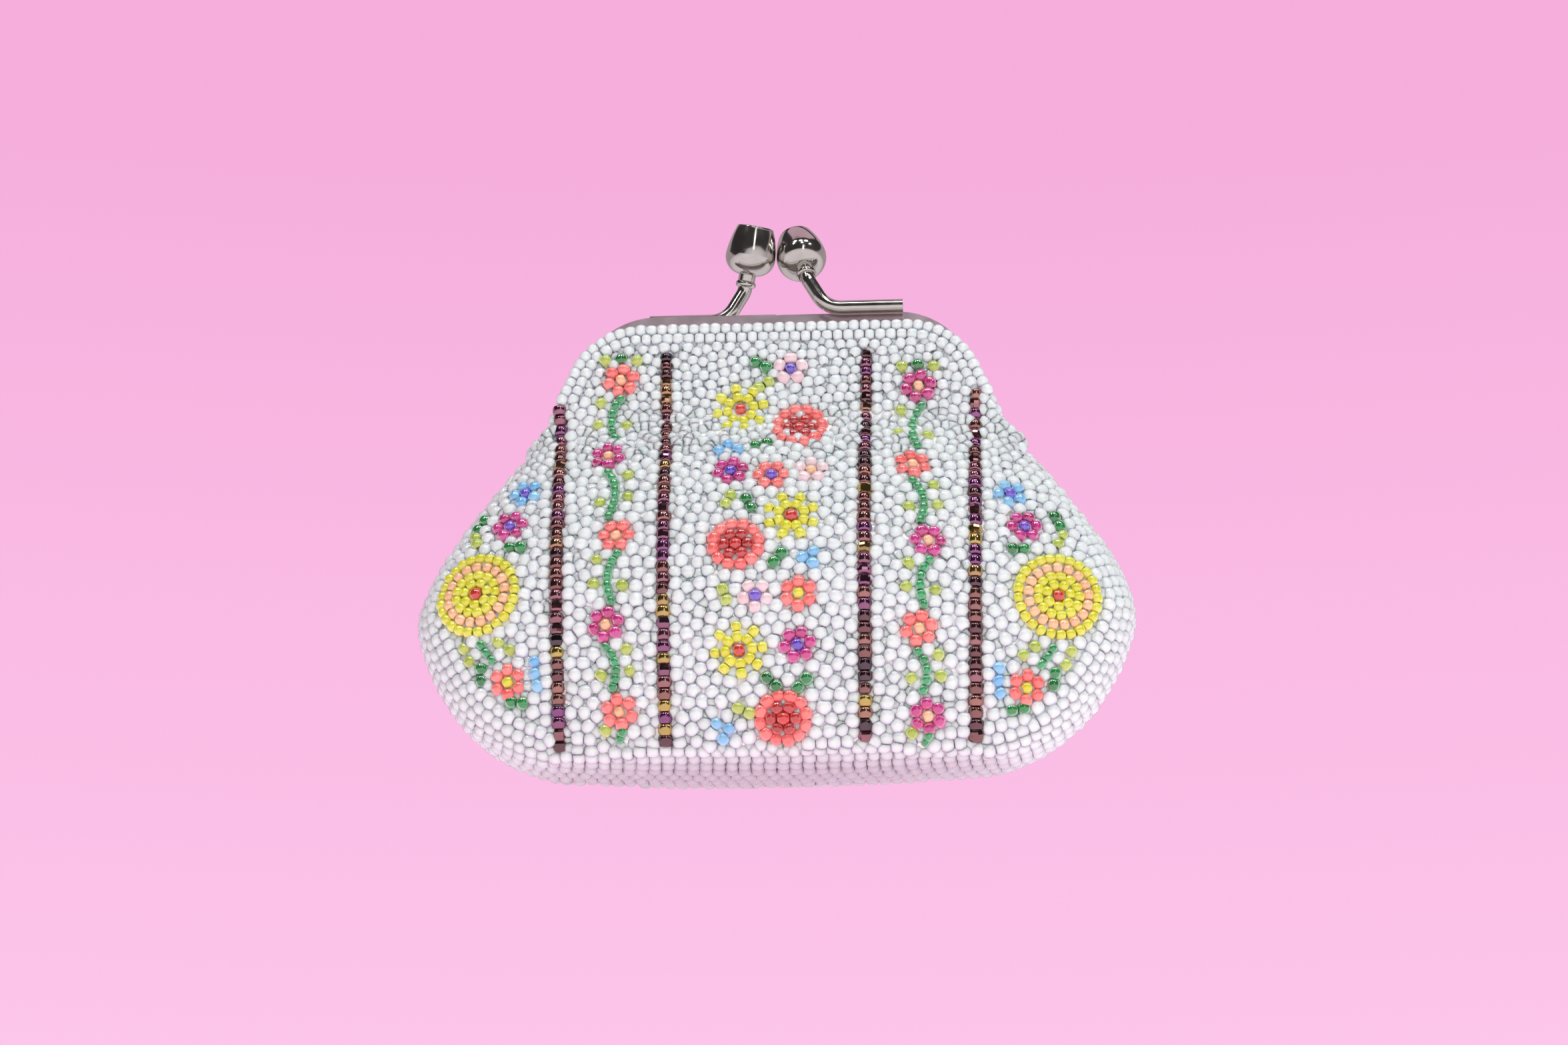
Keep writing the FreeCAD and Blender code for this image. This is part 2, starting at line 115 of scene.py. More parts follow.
def section_arcs(height):
    """The section's half width, side radius, front radius and centre, and the angle where the arcs meet."""
    width, depth = section_size(height)
    side = SIDE_ROUND_SHARE * depth
    crown = (width**2 - 2 * width * side + depth**2) / (2 * (depth - side))
    return width, side, crown, crown - depth, np.arctan2(width - side, crown - depth)


def flatness(height):
    return smoothstep((height - FLAT_FROM) / (FLAT_TO - FLAT_FROM))


def flap_half_width(height, inset=0.0):
    """Half width of the flap's outline at a height, moved inwards by inset."""
    radius = FLAP_RADIUS - inset
    leg_x = FLAP_CENTRE[0] + radius * math.cos(LEG_SLOPE)
    leg_z = FLAP_CENTRE[1] + radius * math.sin(LEG_SLOPE)
    rounded = FLAP_CENTRE[0] + np.sqrt(np.clip(radius**2 - (height - FLAP_CENTRE[1]) ** 2, 0, None))
    return np.where(height > leg_z, rounded, leg_x + (leg_z - height) * math.tan(LEG_SLOPE))


def front_point(across, height, flap_inset=0.0, flap_front=FLAP_FRONT):
    """A point of the front surface: across runs from -1 at the left edge to 1 at the right edge."""
    across, height = np.broadcast_arrays(np.asarray(across, float), np.asarray(height, float))
    width, side, crown, rise, turn = section_arcs(height)
    front_arc = crown * turn
    run = np.abs(across) * (front_arc + side * (math.pi / 2 - turn))
    front_angle = np.minimum(run, front_arc) / crown
    side_angle = turn + np.clip(run - front_arc, 0, None) / side
    on_front = run <= front_arc
    x = np.where(on_front, crown * np.sin(front_angle), width - side + side * np.sin(side_angle))
    y = np.where(on_front, rise - crown * np.cos(front_angle), -side * np.cos(side_angle))
    x = x * np.sign(across)
    flat = flatness(height)
    x = x + (across * flap_half_width(height, flap_inset) - x) * flat
    y = y + (-flap_front - y) * flat
    return np.stack([x, y, height], axis=-1)


def off_surface(points):
    """How far points lie outside the front surface."""
    x, y, z = np.abs(points[..., 0]), points[..., 1], points[..., 2]
    width, side, crown, rise, turn = section_arcs(z)
    on_side = np.arctan2(x, rise - y) > turn
    round_off = np.where(on_side, np.hypot(x - width + side, y) - side, np.hypot(x, rise - y) - crown)
    return round_off + (-y - FLAP_FRONT - round_off) * flatness(z)


def slope_of(points):
    """The gradient of off_surface."""
    parts = []
    for k in range(3):
        shift = np.zeros(3)
        shift[k] = SLOPE_STEP
        parts.append((off_surface(points + shift) - off_surface(points - shift)) / (2 * SLOPE_STEP))
    return np.stack(parts, axis=-1)


def outward(points):
    return unit(slope_of(points))


def settle(points):
    """Moves points onto the front surface."""
    for _ in range(SETTLE_ROUNDS):
        slope = slope_of(points)
        points = points - slope * (off_surface(points) / (slope**2).sum(axis=-1))[..., None]
    return points


def front_at(x, height):
    """Points of the front surface straight in front of x and height."""
    x, height = np.broadcast_arrays(np.asarray(x, float), np.asarray(height, float))
    outside, inside = np.full(x.shape, -BODY_DEPTH), np.zeros(x.shape)
    for _ in range(HALVINGS):
        middle = (outside + inside) / 2
        out = off_surface(np.stack([x, middle, height], axis=-1)) > 0
        outside, inside = np.where(out, middle, outside), np.where(out, inside, middle)
    return np.stack([x, middle, height], axis=-1)


def walk(start, offsets):
    """Points at flat offsets from start, laid on the surface with its own across and up directions."""
    normal = outward(start[None])[0]
    upward = unit(UP - normal * (UP @ normal))
    across = np.cross(upward, normal)
    offsets = np.asarray(offsets, float)
    heading = (offsets[:, :1] * across + offsets[:, 1:] * upward) / WALK_STEPS
    length = np.linalg.norm(heading, axis=1, keepdims=True)
    points = np.repeat(start[None], len(offsets), axis=0)
    for _ in range(WALK_STEPS):
        points = settle(points + heading)
        normal = outward(points)
        heading = heading - normal * (heading * normal).sum(axis=1, keepdims=True)
        heading = heading * (length / np.maximum(np.linalg.norm(heading, axis=1, keepdims=True), 1e-9))
    return points


def read_off(places, reach, line):
    """Points at places along a line, whose own points lie at reach."""
    return np.stack([np.interp(places, reach, column) for column in line.T], axis=-1)


def along(line, pitch, start=0.0, scale=None):
    """Evenly spaced points on a polyline, closer where scale is small, and the line's directions there."""
    runs = np.linalg.norm(np.diff(line, axis=0), axis=1)
    if scale is not None:
        runs = runs / ((scale[1:] + scale[:-1]) / 2)
    reach = np.concatenate([[0], np.cumsum(runs)])
    usable = reach[-1] - start
    count = max(int(round(usable / pitch)), 1)
    places = start + (np.arange(count) + 0.5) * usable / count
    ahead, behind = (read_off(places + shift, reach, line) for shift in (pitch / 4, -pitch / 4))
    return read_off(places, reach, line), unit(ahead - behind)


# Kinds of bead: radius, half length along the hole, and shape

KINDS = {
    "pearl": (1.15, 1.03, "round"),
    "row_pearl": (1.08, 0.95, "round"),
    "edge_pearl": (1.10, 1.02, "round"),
    "iris": (1.14, 0.86, "barrel"),
    "iris_cut": (1.14, 0.84, "cut"),
    "coral": (0.97, 0.92, "round"),
    "magenta": (0.97, 0.92, "round"),
    "peach": (0.86, 0.74, "round"),
    "red": (1.02, 0.88, "round"),
    "dark_red": (0.92, 0.88, "round"),
    "yellow": (0.82, 0.76, "round"),
    "emerald": (1.04, 0.94, "round"),
    "stem": (0.72, 0.70, "round"),
    "olive": (0.96, 0.84, "round"),
    "blue": (0.94, 0.84, "round"),
    "violet": (0.92, 0.80, "round"),
    "pale_pink": (0.95, 0.92, "round"),
}
PEARLS = ("pearl", "row_pearl", "edge_pearl")
IRISES = ("iris", "iris_cut")

# Towards the frame the white beads and those of the stripes are smaller
SMALL_FROM, SMALL_TO, SMALL_SHARE = 40.0, 66.0, 0.80


def bead_share(height):
    return 1 - (1 - SMALL_SHARE) * smoothstep((height - SMALL_FROM) / (SMALL_TO - SMALL_FROM))


class Beads:
    """Bead places on the front surface, with the direction of each hole."""

    def __init__(self):
        self.rows = []

    def add(self, group, kind, points, axes):
        normals = outward(points)
        axes = axes - normals * (axes * normals).sum(axis=1, keepdims=True)
        for point, axis, normal in zip(points, unit(axes), normals):
            self.rows.append((group, kind, point, axis, normal))

    def places(self):
        return np.array([row[2] for row in self.rows])

    def room(self):
        sizes = np.array([(KINDS[row[1]][0] + KINDS[row[1]][1]) / 2 for row in self.rows])
        small = np.array([row[1] in PEARLS + IRISES for row in self.rows])
        return sizes * np.where(small, bead_share(self.places()[:, 2]), 1)


# Neat rows of white beads

ROW_PITCH = 1.84
ROW_GAP = 1.86
SEAM_ROWS = 5
SEAM_TOP = 36.0
FLAP_ROWS = 2
FLAP_ROW_FOOT = 57.6
FLAP_ROW_INSET = 0.45
FLAP_ROW_PITCH = 1.60
FLAP_ROW_GAP = 1.55
# How finely the seam, the lines that run inwards from it, the flap's outline and the edge are cut
SEAM_FINE, SEAM_STEPS = 400, 420
INWARD_REACH, INWARD_STEPS = 14.0, 240
LEG_STEPS, BEND_STEPS = 20, 30
EDGE_STEPS = 60
# How much of its room a white bead of a row keeps from the pattern
SEAM_ROOM_SHARE, EDGE_ROOM_SHARE = 0.86, 0.80


def seam_rows():
    """Lines at even distances from the seam, which runs down one side, under the floor and up the other."""
    share = np.linspace(1, 0, SEAM_FINE)
    heights = SEAM_TOP * share**2
    half = np.stack([section_size(heights)[0], heights], axis=1)
    seam = np.concatenate([half * (-1, 1), half[-2::-1]])
    reach = np.concatenate([[0], np.cumsum(np.linalg.norm(np.diff(seam, axis=0), axis=1))])
    places = np.linspace(0, reach[-1], SEAM_STEPS)
    seam = read_off(places, reach, seam)
    tangent = unit(np.gradient(seam, axis=0))
    inward = np.stack([-tangent[:, 1], tangent[:, 0]], axis=1)
    deep = INWARD_REACH * np.linspace(0, 1, INWARD_STEPS) ** 2
    flat = seam[:, None] + inward[:, None] * deep[None, :, None]
    x, z = np.abs(flat[..., 0]), np.clip(flat[..., 1], 0, None)
    width, side, crown, rise, turn = section_arcs(z)
    on_side = x > crown * np.sin(turn)
    side_depth = np.sqrt(np.clip(side**2 - (x - width + side) ** 2, 0, None))
    depth = np.where(on_side, side_depth, np.sqrt(np.clip(crown**2 - x**2, 0, None)) - rise)
    depth[:, 0] = 0
    lines = np.stack([flat[..., 0], -depth, z], axis=-1)
    runs = np.linalg.norm(np.diff(lines, axis=1), axis=2)
    runs = np.concatenate([np.zeros((len(lines), 1)), np.cumsum(runs, axis=1)], axis=1)
    distances = [ROW_GAP * (k + 0.5) for k in range(SEAM_ROWS)]
    return [np.array([read_off(far, run, line) for run, line in zip(runs, lines)]) for far in distances]


def flap_outline(inset, foot):
    """The flap's outline moved inwards by inset, from the left leg over the top to the right leg."""
    radius = FLAP_RADIUS - inset
    leg_z = FLAP_CENTRE[1] + radius * math.sin(LEG_SLOPE)
    leg_heights = np.linspace(foot, leg_z, LEG_STEPS)
    leg = np.stack([flap_half_width(leg_heights, inset), leg_heights], axis=1)
    angles = np.linspace(LEG_SLOPE, math.pi / 2, BEND_STEPS)[1:]
    bend = np.stack([
        FLAP_CENTRE[0] + radius * np.cos(angles), FLAP_CENTRE[1] + radius * np.sin(angles)
    ], axis=1)
    half = np.concatenate([leg, bend])
    return np.concatenate([half * (-1, 1), half[::-1]])


def flap_row(inset):
    outline = flap_outline(inset, FLAP_ROW_FOOT)
    return front_at(outline[:, 0], outline[:, 1])


def edge_row(side):
    """The line down one edge of the front, from the flap's leg to the seam's rows."""
    heights = np.linspace(FLAP_ROW_FOOT, SEAM_TOP, EDGE_STEPS)
    # Ten times the outermost tenth of the way across
    half = np.linalg.norm(front_point(1.0, heights) - front_point(0.9, heights), axis=1) * 10
    return front_point(side * (1 - ROW_GAP / 2 / half), heights)


# Motifs, as flat offsets from their middle

# How the holes lie in a flower's heart and in a single bead
DAISY_HOLE, RAY_HOLE = (1.0, 0.0, 0.4), (1.0, 0.0, 0.2)
ROSETTE_HOLE, DOT_HOLE = (1.0, 0.0, 0.0), (0.7, 0.0, 0.7)
RAY_RADII = (1.95, 3.45)
SMALL_DAISY = (5, 1.75)
STRING_STEPS, STRING_ROUNDS = 60, 60


def ring(count, radius, turn=0.0):
    angles = turn + np.arange(count) * 2 * math.pi / count
    return np.stack([np.cos(angles), np.sin(angles)], axis=1) * radius


def circling(points, start):
    """Directions on the surface round the middle of a motif."""
    return np.cross(outward(points), points - start)


def daisy(beads, group, x, z, petal, heart, turn=0.3, count=6, radius=1.86):
    start = front_at(x, z)
    points = walk(start, ring(count, radius, turn))
    beads.add(group, petal, points, circling(points, start))
    beads.add(group, heart, start[None], np.array([DAISY_HOLE]))


def ray_flower(beads, group, x, z, ray, heart, turn=0.2, count=8):
    start = front_at(x, z)
    for radius in RAY_RADII:
        points = walk(start, ring(count, radius, turn))
        beads.add(group, ray, points, points - start)
    beads.add(group, heart, start[None], np.array([RAY_HOLE]))


def rosette(beads, group, x, z, rings, heart):
    start = front_at(x, z)
    for kind, count, radius, turn in rings:
        points = walk(start, ring(count, radius, turn))
        beads.add(group, kind, points, circling(points, start))
    beads.add(group, heart, start[None], np.array([ROSETTE_HOLE]))


def blossom(beads, group, x, z):
    """A round flower of a red heart inside a coral ring."""
    rosette(beads, group, x, z, BLOSSOM_RINGS, "red")


def string(beads, group, x, z, kind, offsets, pitch):
    """Beads threaded along a curved line through flat offsets."""
    corners = np.asarray(offsets, float)
    fine = np.linspace(0, len(corners) - 1, STRING_STEPS)
    curve = read_off(fine, np.arange(len(corners)), corners)
    for _ in range(STRING_ROUNDS):
        curve[1:-1] = (curve[:-2] + 2 * curve[1:-1] + curve[2:]) / 4
    points, axes = along(walk(front_at(x, z), curve), pitch)
    beads.add(group, kind, points, axes)


def leaf(beads, group, x, z, kind, lean, pitch=1.8):
    """Two beads in line."""
    way = np.array([math.cos(lean), math.sin(lean)])
    string(beads, group, x, z, kind, [-way * pitch, way * 0, way * pitch], pitch)


def dots(beads, group, x, z, kind, offsets):
    points = walk(front_at(x, z), offsets)
    beads.add(group, kind, points, np.tile(DOT_HOLE, (len(points), 1)))


# The design

ART_SHIFT = -0.7
# Top and bottom of each stripe of cut beads
STRIPES = [
    ((-31.9, 57.3), (-30.8, 2.3)),
    ((-16.0, 65.6), (-15.4, 2.0)),
    ((13.7, 65.4), (13.2, 2.0)),
    ((29.9, 58.4), (28.9, 2.4)),
]
STRIPE_PITCH = 1.74
CUT_SHARE = 0.2
LEFT_VINE = [(-22.7, 61.3), (-24.4, 48.6), (-22.6, 33.4), (-23.9, 19.4), (-22.0, 7.0)]
RIGHT_VINE = [(21.4, 59.2), (20.5, 45.3), (22.6, 31.4), (21.1, 17.8), (22.1, 5.6)]
STRIPE_STEPS = 200
STEM_PITCH = 1.36
STEM_CLEAR = 2.7
# A stem and its leaves between two daisies: millimetres across, and shares of half its length up
STEM_BEND = [(-1.3, 1.0), (0.1, 0.55), (0.6, 0.0), (0.4, -0.5), (-0.3, -1.0)]
STEM_LEAVES = [(2.1, 0.72), (2.5, -0.18), (-1.7, -0.30)]
VINE_TOP_LEAVES, VINE_BUD = [(-2.4, 3.3), (2.3, 3.2)], [(-0.1, 3.6)]
VINE_TAIL, VINE_TAIL_LEAF = [(0.4, -2.5), (0.1, -3.4), (-0.4, -4.4)], [(-2.2, -2.6)]
VINE_TURN, VINE_TURN_STEP = 0.3, 0.35
# Kind, count, radius and turn of each ring
BLOSSOM_RINGS = [("dark_red", 6, 1.78, 0.0), ("coral", 12, 3.35, 0.2)]
SPRAY_RINGS = [
    ("yellow", 7, 1.75, 0.2),
    ("yellow", 13, 3.05, 0.0),
    ("peach", 17, 4.45, 0.1),
    ("yellow", 25, 5.95, 0.0),
]
SPRAY_STEM = [(-0.4, -7.4), (-1.4, -9.2), (-2.8, -11.0)]
SPRAY_LEAVES = [(-3.3, -7.9), (2.0, -8.2), (1.2, -10.2), (-5.0, -9.2)]
# Side and place of each spray
SPRAYS = [(-1, -43.2, 26.0), (1, 41.2, 23.6)]
# The garland between the middle stripes: motif, place across and up, and the motif's own values
PANEL = [
    (daisy, 3.2, 62.6, "pale_pink", "violet", 0.3, *SMALL_DAISY),
    (leaf, -1.2, 63.4, "emerald", 2.6),
    (leaf, -0.8, 60.0, "olive", 0.6),
    (ray_flower, -4.2, 56.0, "yellow", "red"),
    (blossom, 4.6, 52.6),
    (leaf, -1.0, 49.2, "emerald", 0.4),
    (dots, -4.0, 49.0, "blue", [(-1.9, 0.3), (-0.3, -0.9), (-3.2, -0.9)]),
    (daisy, -5.4, 44.0, "magenta", "violet"),
    (daisy, 0.6, 43.0, "coral", "violet", 0.0),
    (daisy, 6.4, 43.8, "pale_pink", "peach", 0.3, *SMALL_DAISY),
    (ray_flower, 3.6, 35.4, "yellow", "red", 0.4),
    (leaf, -2.6, 37.8, "emerald", 2.0),
    (leaf, -5.6, 38.6, "olive", 1.2),
    (blossom, -4.4, 30.8),
    (leaf, 1.6, 28.4, "emerald", 0.9),
    (dots, 5.2, 28.4, "blue", [(0, 0), (1.6, 0.9), (1.5, -1.0)]),
    (daisy, 4.6, 22.8, "coral", "yellow", 0.5),
    (daisy, -1.6, 22.6, "pale_pink", "violet", 0.9, *SMALL_DAISY),
    (leaf, -6.0, 22.8, "olive", 1.9),
    (ray_flower, -4.0, 14.8, "yellow", "red", 0.1),
    (daisy, 4.4, 15.4, "magenta", "violet", 0.2),
    (leaf, 0.6, 10.2, "emerald", 2.4),
    (leaf, 5.0, 10.0, "emerald", 0.8),
    (blossom, 2.2, 5.2),
    (leaf, -3.4, 6.4, "olive", 2.7),
    (dots, -5.6, 4.0, "blue", [(0, 0), (-1.7, 0.8), (-0.9, -1.6)]),
]


def stripes(beads, chance):
    for (top_x, top_z), (low_x, low_z) in STRIPES:
        share = np.linspace(0, 1, STRIPE_STEPS)
        line = front_at(top_x + (low_x - top_x) * share, top_z + (low_z - top_z) * share)
        points, axes = along(line, STRIPE_PITCH, scale=bead_share(line[:, 2]))
        cut = chance.uniform(size=len(points)) < CUT_SHARE
        beads.add("stripes", "iris", points[~cut], axes[~cut])
        beads.add("stripes", "iris_cut", points[cut], axes[cut])


def vine(beads, places, kinds):
    """Daisies in two colours by turns, joined by curved stems with round leaves."""
    for k, (x, z) in enumerate(places):
        daisy(beads, "vines", x, z, kinds[k % 2], "peach", VINE_TURN + VINE_TURN_STEP * k)
    for k, ((x0, z0), (x1, z1)) in enumerate(zip(places, places[1:])):
        middle_x, middle_z = (x0 + x1) / 2, (z0 + z1) / 2
        way = 1 if k % 2 else -1
        run = (z0 - z1) / 2 - STEM_CLEAR
        bend, leaves = ([(x * way, share * run) for x, share in part] for part in (STEM_BEND, STEM_LEAVES))
        string(beads, "vines", middle_x, middle_z, "stem", bend, STEM_PITCH)
        dots(beads, "vines", middle_x, middle_z, "olive", leaves)
    dots(beads, "vines", *places[0], "olive", VINE_TOP_LEAVES)
    dots(beads, "vines", *places[0], "emerald", VINE_BUD)
    string(beads, "vines", *places[-1], "stem", VINE_TAIL, STEM_PITCH)
    dots(beads, "vines", *places[-1], "olive", VINE_TAIL_LEAF)


def side_spray(beads, side, x, z):
    """A round blossom of rings with a small flower above and below it."""
    rosette(beads, "sprays", x, z, SPRAY_RINGS, "red")
    for motif, across, up, *values in (
        (daisy, -4.6, 11.2, "magenta", "violet", 0.1),
        (daisy, -6.6, 17.0, "blue", "violet", 0.7, 5, 1.7),
        (leaf, -5.6, 7.2, "emerald", 0.1 * side),
        (leaf, 0.6, 9.4, "olive", 1.1 * side),
        (leaf, 0.2, 12.6, "emerald", 2.0 * side),
        (string, 0.0, 0.0, "stem", [(side * away, down) for away, down in SPRAY_STEM], STEM_PITCH),
        (dots, 0.0, 0.0, "olive", [(side * away, down) for away, down in SPRAY_LEAVES]),
        (daisy, -4.9, -13.6, "coral", "yellow", 0.5),
        (leaf, -0.9, -12.2, "emerald", 1.5),
        (leaf, -6.2, -16.6, "emerald", 0.2 * side),
        (dots, -8.9, -12.8, "blue", [(0, 1.8), (0, 0), (0.3, -1.8)]),
    ):
        motif(beads, "sprays", x + side * across, z + up, *values)


def pattern(seed):
    """Every bead of one side but the white ground."""
    chance = np.random.default_rng(seed)
    beads = Beads()
    stripes(beads, chance)
    vine(beads, LEFT_VINE, ("coral", "magenta"))
    vine(beads, RIGHT_VINE, ("magenta", "coral"))
    for side, x, z in SPRAYS:
        side_spray(beads, side, x, z)
    for motif, x, z, *values in PANEL:
        motif(beads, "panel", ART_SHIFT + x, z, *values)
    for line in seam_rows():
        white_row(beads, "row_pearl", SEAM_ROOM_SHARE, line, ROW_PITCH, chance.uniform(0, 1))
    for k in range(FLAP_ROWS):
        line = flap_row(FLAP_ROW_INSET + k * FLAP_ROW_GAP)
        white_row(beads, "edge_pearl", EDGE_ROOM_SHARE, line, FLAP_ROW_PITCH)
    for side in (-1, 1):
        white_row(beads, "row_pearl", EDGE_ROOM_SHARE, edge_row(side), ROW_PITCH)
    return beads


def white_row(beads, kind, share, line, pitch, start=0.0):
    """White beads along a line, where those that are there leave room."""
    points, axes = along(line, pitch, start)
    need = (beads.room()[None] + KINDS["row_pearl"][0] * bead_share(points[:, 2])[:, None]) * share
    gaps = np.linalg.norm(points[:, None] - beads.places()[None], axis=2)
    keep = (gaps > need).all(axis=1)
    beads.add("rows", kind, points[keep], axes[keep])


# The white ground, sewn on bead by bead

FIELD_ROOM = 0.96
FIELD_SPACING = 1.96
EDGE_ROOM = 0.9
FLAP_HOLD_SHARE = 0.9
LOWEST_PLACE = 1.0
WIDEST_HEIGHT_SHARE = 0.46
# Distances are worked out for this many points at a time
BATCH = 400
# How the beads push each other apart
RELAX_ROUNDS, REGROUP_ROUNDS = 24, 8
NEAR_SHARE, PUSH_SHARE = 1.5, 0.35
# Throws, and shares of the full spacing: the first throw, then more in the gaps, then beads in the way go
PATTERN_ROOM_SHARE = 0.86
FIRST_THROWS, FIRST_SPACING_SHARE = 9000, 0.84
MORE_ROUNDS, MORE_THROWS, MORE_SPACING_SHARE, MORE_ROOM_SHARE = 3, 12000, 0.76, 0.90
CROWDED_SHARE, COVERED_SHARE = 0.60, 0.52
FILL_THROWS = 20000
# Beads that fill the gaps: how close they come, how deep they lie and how far apart they are
FILLERS = [(0.64, 0.40, 0.80), (0.52, 0.62, 0.66)]
# Near this height they come up to the rest, so that they stay outside the lining when it creases
CREASE_HEIGHT, CREASE_LEVEL, CREASE_RUN = 52.0, 1.5, 4.5


def inside(points):
    """Keeps points off the seam and the flap's outline."""
    flat = flatness(points[:, 2])
    points = points.copy()
    points[:, 1] = np.minimum(points[:, 1], -EDGE_ROOM - (FLAP_FRONT - EDGE_ROOM) * flat * FLAP_HOLD_SHARE)
    points[:, 2] = np.minimum(points[:, 2], FLAP_TOP - EDGE_ROOM)
    limit = np.where(points[:, 2] > FLAT_FROM, flap_half_width(points[:, 2], EDGE_ROOM), BODY_WIDTH)
    points[:, 0] = np.clip(points[:, 0], -limit, limit)
    return points


def near_pairs(points, others, reach):
    """Pairs of close points, as two lists of places."""
    first, second = [], []
    for k in range(0, len(points), BATCH):
        part = points[k : k + BATCH]
        gaps = ((part[:, None] - others[None]) ** 2).sum(axis=2)
        a, b = np.nonzero(gaps < reach**2)
        first.append(a + k)
        second.append(b)
    return np.concatenate(first), np.concatenate(second)


def throw(chance, taken, need, count, spacing):
    """Random places on the front surface that keep their distance from each other and from those taken."""
    across = chance.uniform(-1, 1, count)
    heights = chance.uniform(LOWEST_PLACE, FLAP_TOP - EDGE_ROOM, count)
    widest = section_size(np.array(HINGE_HEIGHT * WIDEST_HEIGHT_SHARE))[0]
    keep = chance.uniform(0, 1, count) < np.minimum(1, np.abs(front_point(1.0, heights)[:, 0]) / widest)
    points = settle(inside(front_point(across[keep], heights[keep])))
    open_ground = [
        (((part[:, None] - taken[None]) ** 2).sum(axis=2) > need**2).all(axis=1)
        for part in np.array_split(points, 1 + len(points) // BATCH)
    ]
    points = points[np.concatenate(open_ground)]
    known = np.zeros((len(taken) + len(points), 3))
    room = np.zeros(len(known))
    known[: len(taken)], room[: len(taken)] = taken, need
    used = len(taken)
    for point, share in zip(points, bead_share(points[:, 2])):
        gaps = ((known[:used] - point) ** 2).sum(axis=1)
        if (gaps > room[:used] ** 2).all():
            known[used], room[used] = point, spacing * share
            used += 1
    return known[len(taken) : used]


def relax(points, fixed, fixed_room):
    """Pushes close beads apart along the surface."""
    for k in range(RELAX_ROUNDS):
        if k % REGROUP_ROUNDS == 0:
            a, b = near_pairs(points, points, FIELD_SPACING * NEAR_SHARE)
            keep = a != b
            a, b = a[keep], b[keep]
            c, d = near_pairs(points, fixed, FIELD_SPACING * NEAR_SHARE)
        share = bead_share(points[:, 2])
        push = np.zeros_like(points)
        for mine, theirs, pool, rest in (
            (a, b, points, FIELD_SPACING * share[a]),
            (c, d, fixed, FIELD_ROOM * share[c] + fixed_room[d]),
        ):
            apart = points[mine] - pool[theirs]
            gap = np.maximum(np.linalg.norm(apart, axis=1), 1e-6)
            force = np.clip(rest - gap, 0, None) * PUSH_SHARE
            np.add.at(push, mine, apart / gap[:, None] * force[:, None])
        points = settle(inside(settle(points + push)))
    return points


def field(beads, seed):
    """Adds the white ground round the beads that are there."""
    chance = np.random.default_rng(seed)
    fixed, room = beads.places(), beads.room()
    need = (FIELD_ROOM * bead_share(fixed[:, 2]) + room) * PATTERN_ROOM_SHARE
    points = throw(chance, fixed, need, FIRST_THROWS, FIELD_SPACING * FIRST_SPACING_SHARE)
    points = relax(points, fixed, room)
    spacing = FIELD_SPACING * MORE_SPACING_SHARE
    for _ in range(MORE_ROUNDS):
        taken = np.concatenate([fixed, points])
        gap = np.concatenate([need * MORE_ROOM_SHARE, spacing * bead_share(points[:, 2])])
        points = np.concatenate([points, throw(chance, taken, gap, MORE_THROWS, spacing)])
        points = relax(points, fixed, room)
    a, b = near_pairs(points, points, FIELD_SPACING * CROWDED_SHARE)
    crowded = np.unique(a[a < b])
    c, _ = near_pairs(points, fixed, FIELD_SPACING * COVERED_SHARE)
    points = np.delete(points, np.union1d(crowded, c), axis=0)
    beads.add("field", "pearl", points, chance.normal(size=points.shape))
    for closeness, sink, apart in FILLERS:
        taken = beads.places()
        gap = (beads.room() + FIELD_ROOM * bead_share(taken[:, 2])) * closeness
        deep = throw(chance, taken, gap, FILL_THROWS, FIELD_SPACING * apart)
        drop = sink * smoothstep((np.abs(deep[:, 2:] - CREASE_HEIGHT) - CREASE_LEVEL) / CREASE_RUN)
        beads.add("field", "pearl", deep - outward(deep) * drop, chance.normal(size=deep.shape))


# Bead meshes

AROUND = 14
# Distance from the hole's axis and place along it, from the middle of the hole round the outside and back
ROUND_PROFILE_SHARES = np.array([
    (0.30, 0.00), (0.33, 0.78), (0.46, 0.97), (0.70, 0.86), (0.90, 0.54),
    (1.00, 0.00), (0.90, -0.54), (0.70, -0.86), (0.46, -0.97), (0.33, -0.78),
])
CUT_AROUND = 9
BARREL_PROFILE_SHARES = np.array([
    (0.36, 0.00), (0.40, 0.86), (0.62, 1.00), (0.86, 0.84), (0.97, 0.48),
    (1.00, 0.00), (0.97, -0.48), (0.86, -0.84), (0.62, -1.00), (0.40, -0.86),
])


def bead_template(shape):
    """Points of one bead with its hole along the first axis, and its faces."""
    profile = ROUND_PROFILE_SHARES if shape == "round" else BARREL_PROFILE_SHARES
    around = CUT_AROUND if shape == "cut" else AROUND
    angles = np.arange(around) * 2 * math.pi / around
    points = np.stack([
        np.tile(profile[:, 1], (around, 1)),
        profile[None, :, 0] * np.cos(angles)[:, None],
        profile[None, :, 0] * np.sin(angles)[:, None],
    ], axis=-1).reshape(-1, 3)
    return points, grid_faces(around, len(profile), True, True)


def grid_faces(rows, columns, round_rows=False, round_columns=False):
    """Four-cornered faces between the points of a grid, which may close up either way."""
    i, j = np.indices((rows - 1 + round_rows, columns - 1 + round_columns))
    near, far, right = i * columns, (i + 1) % rows * columns, (j + 1) % columns
    return np.stack([near + j, near + right, far + right, far + j], axis=-1).reshape(-1, 4)


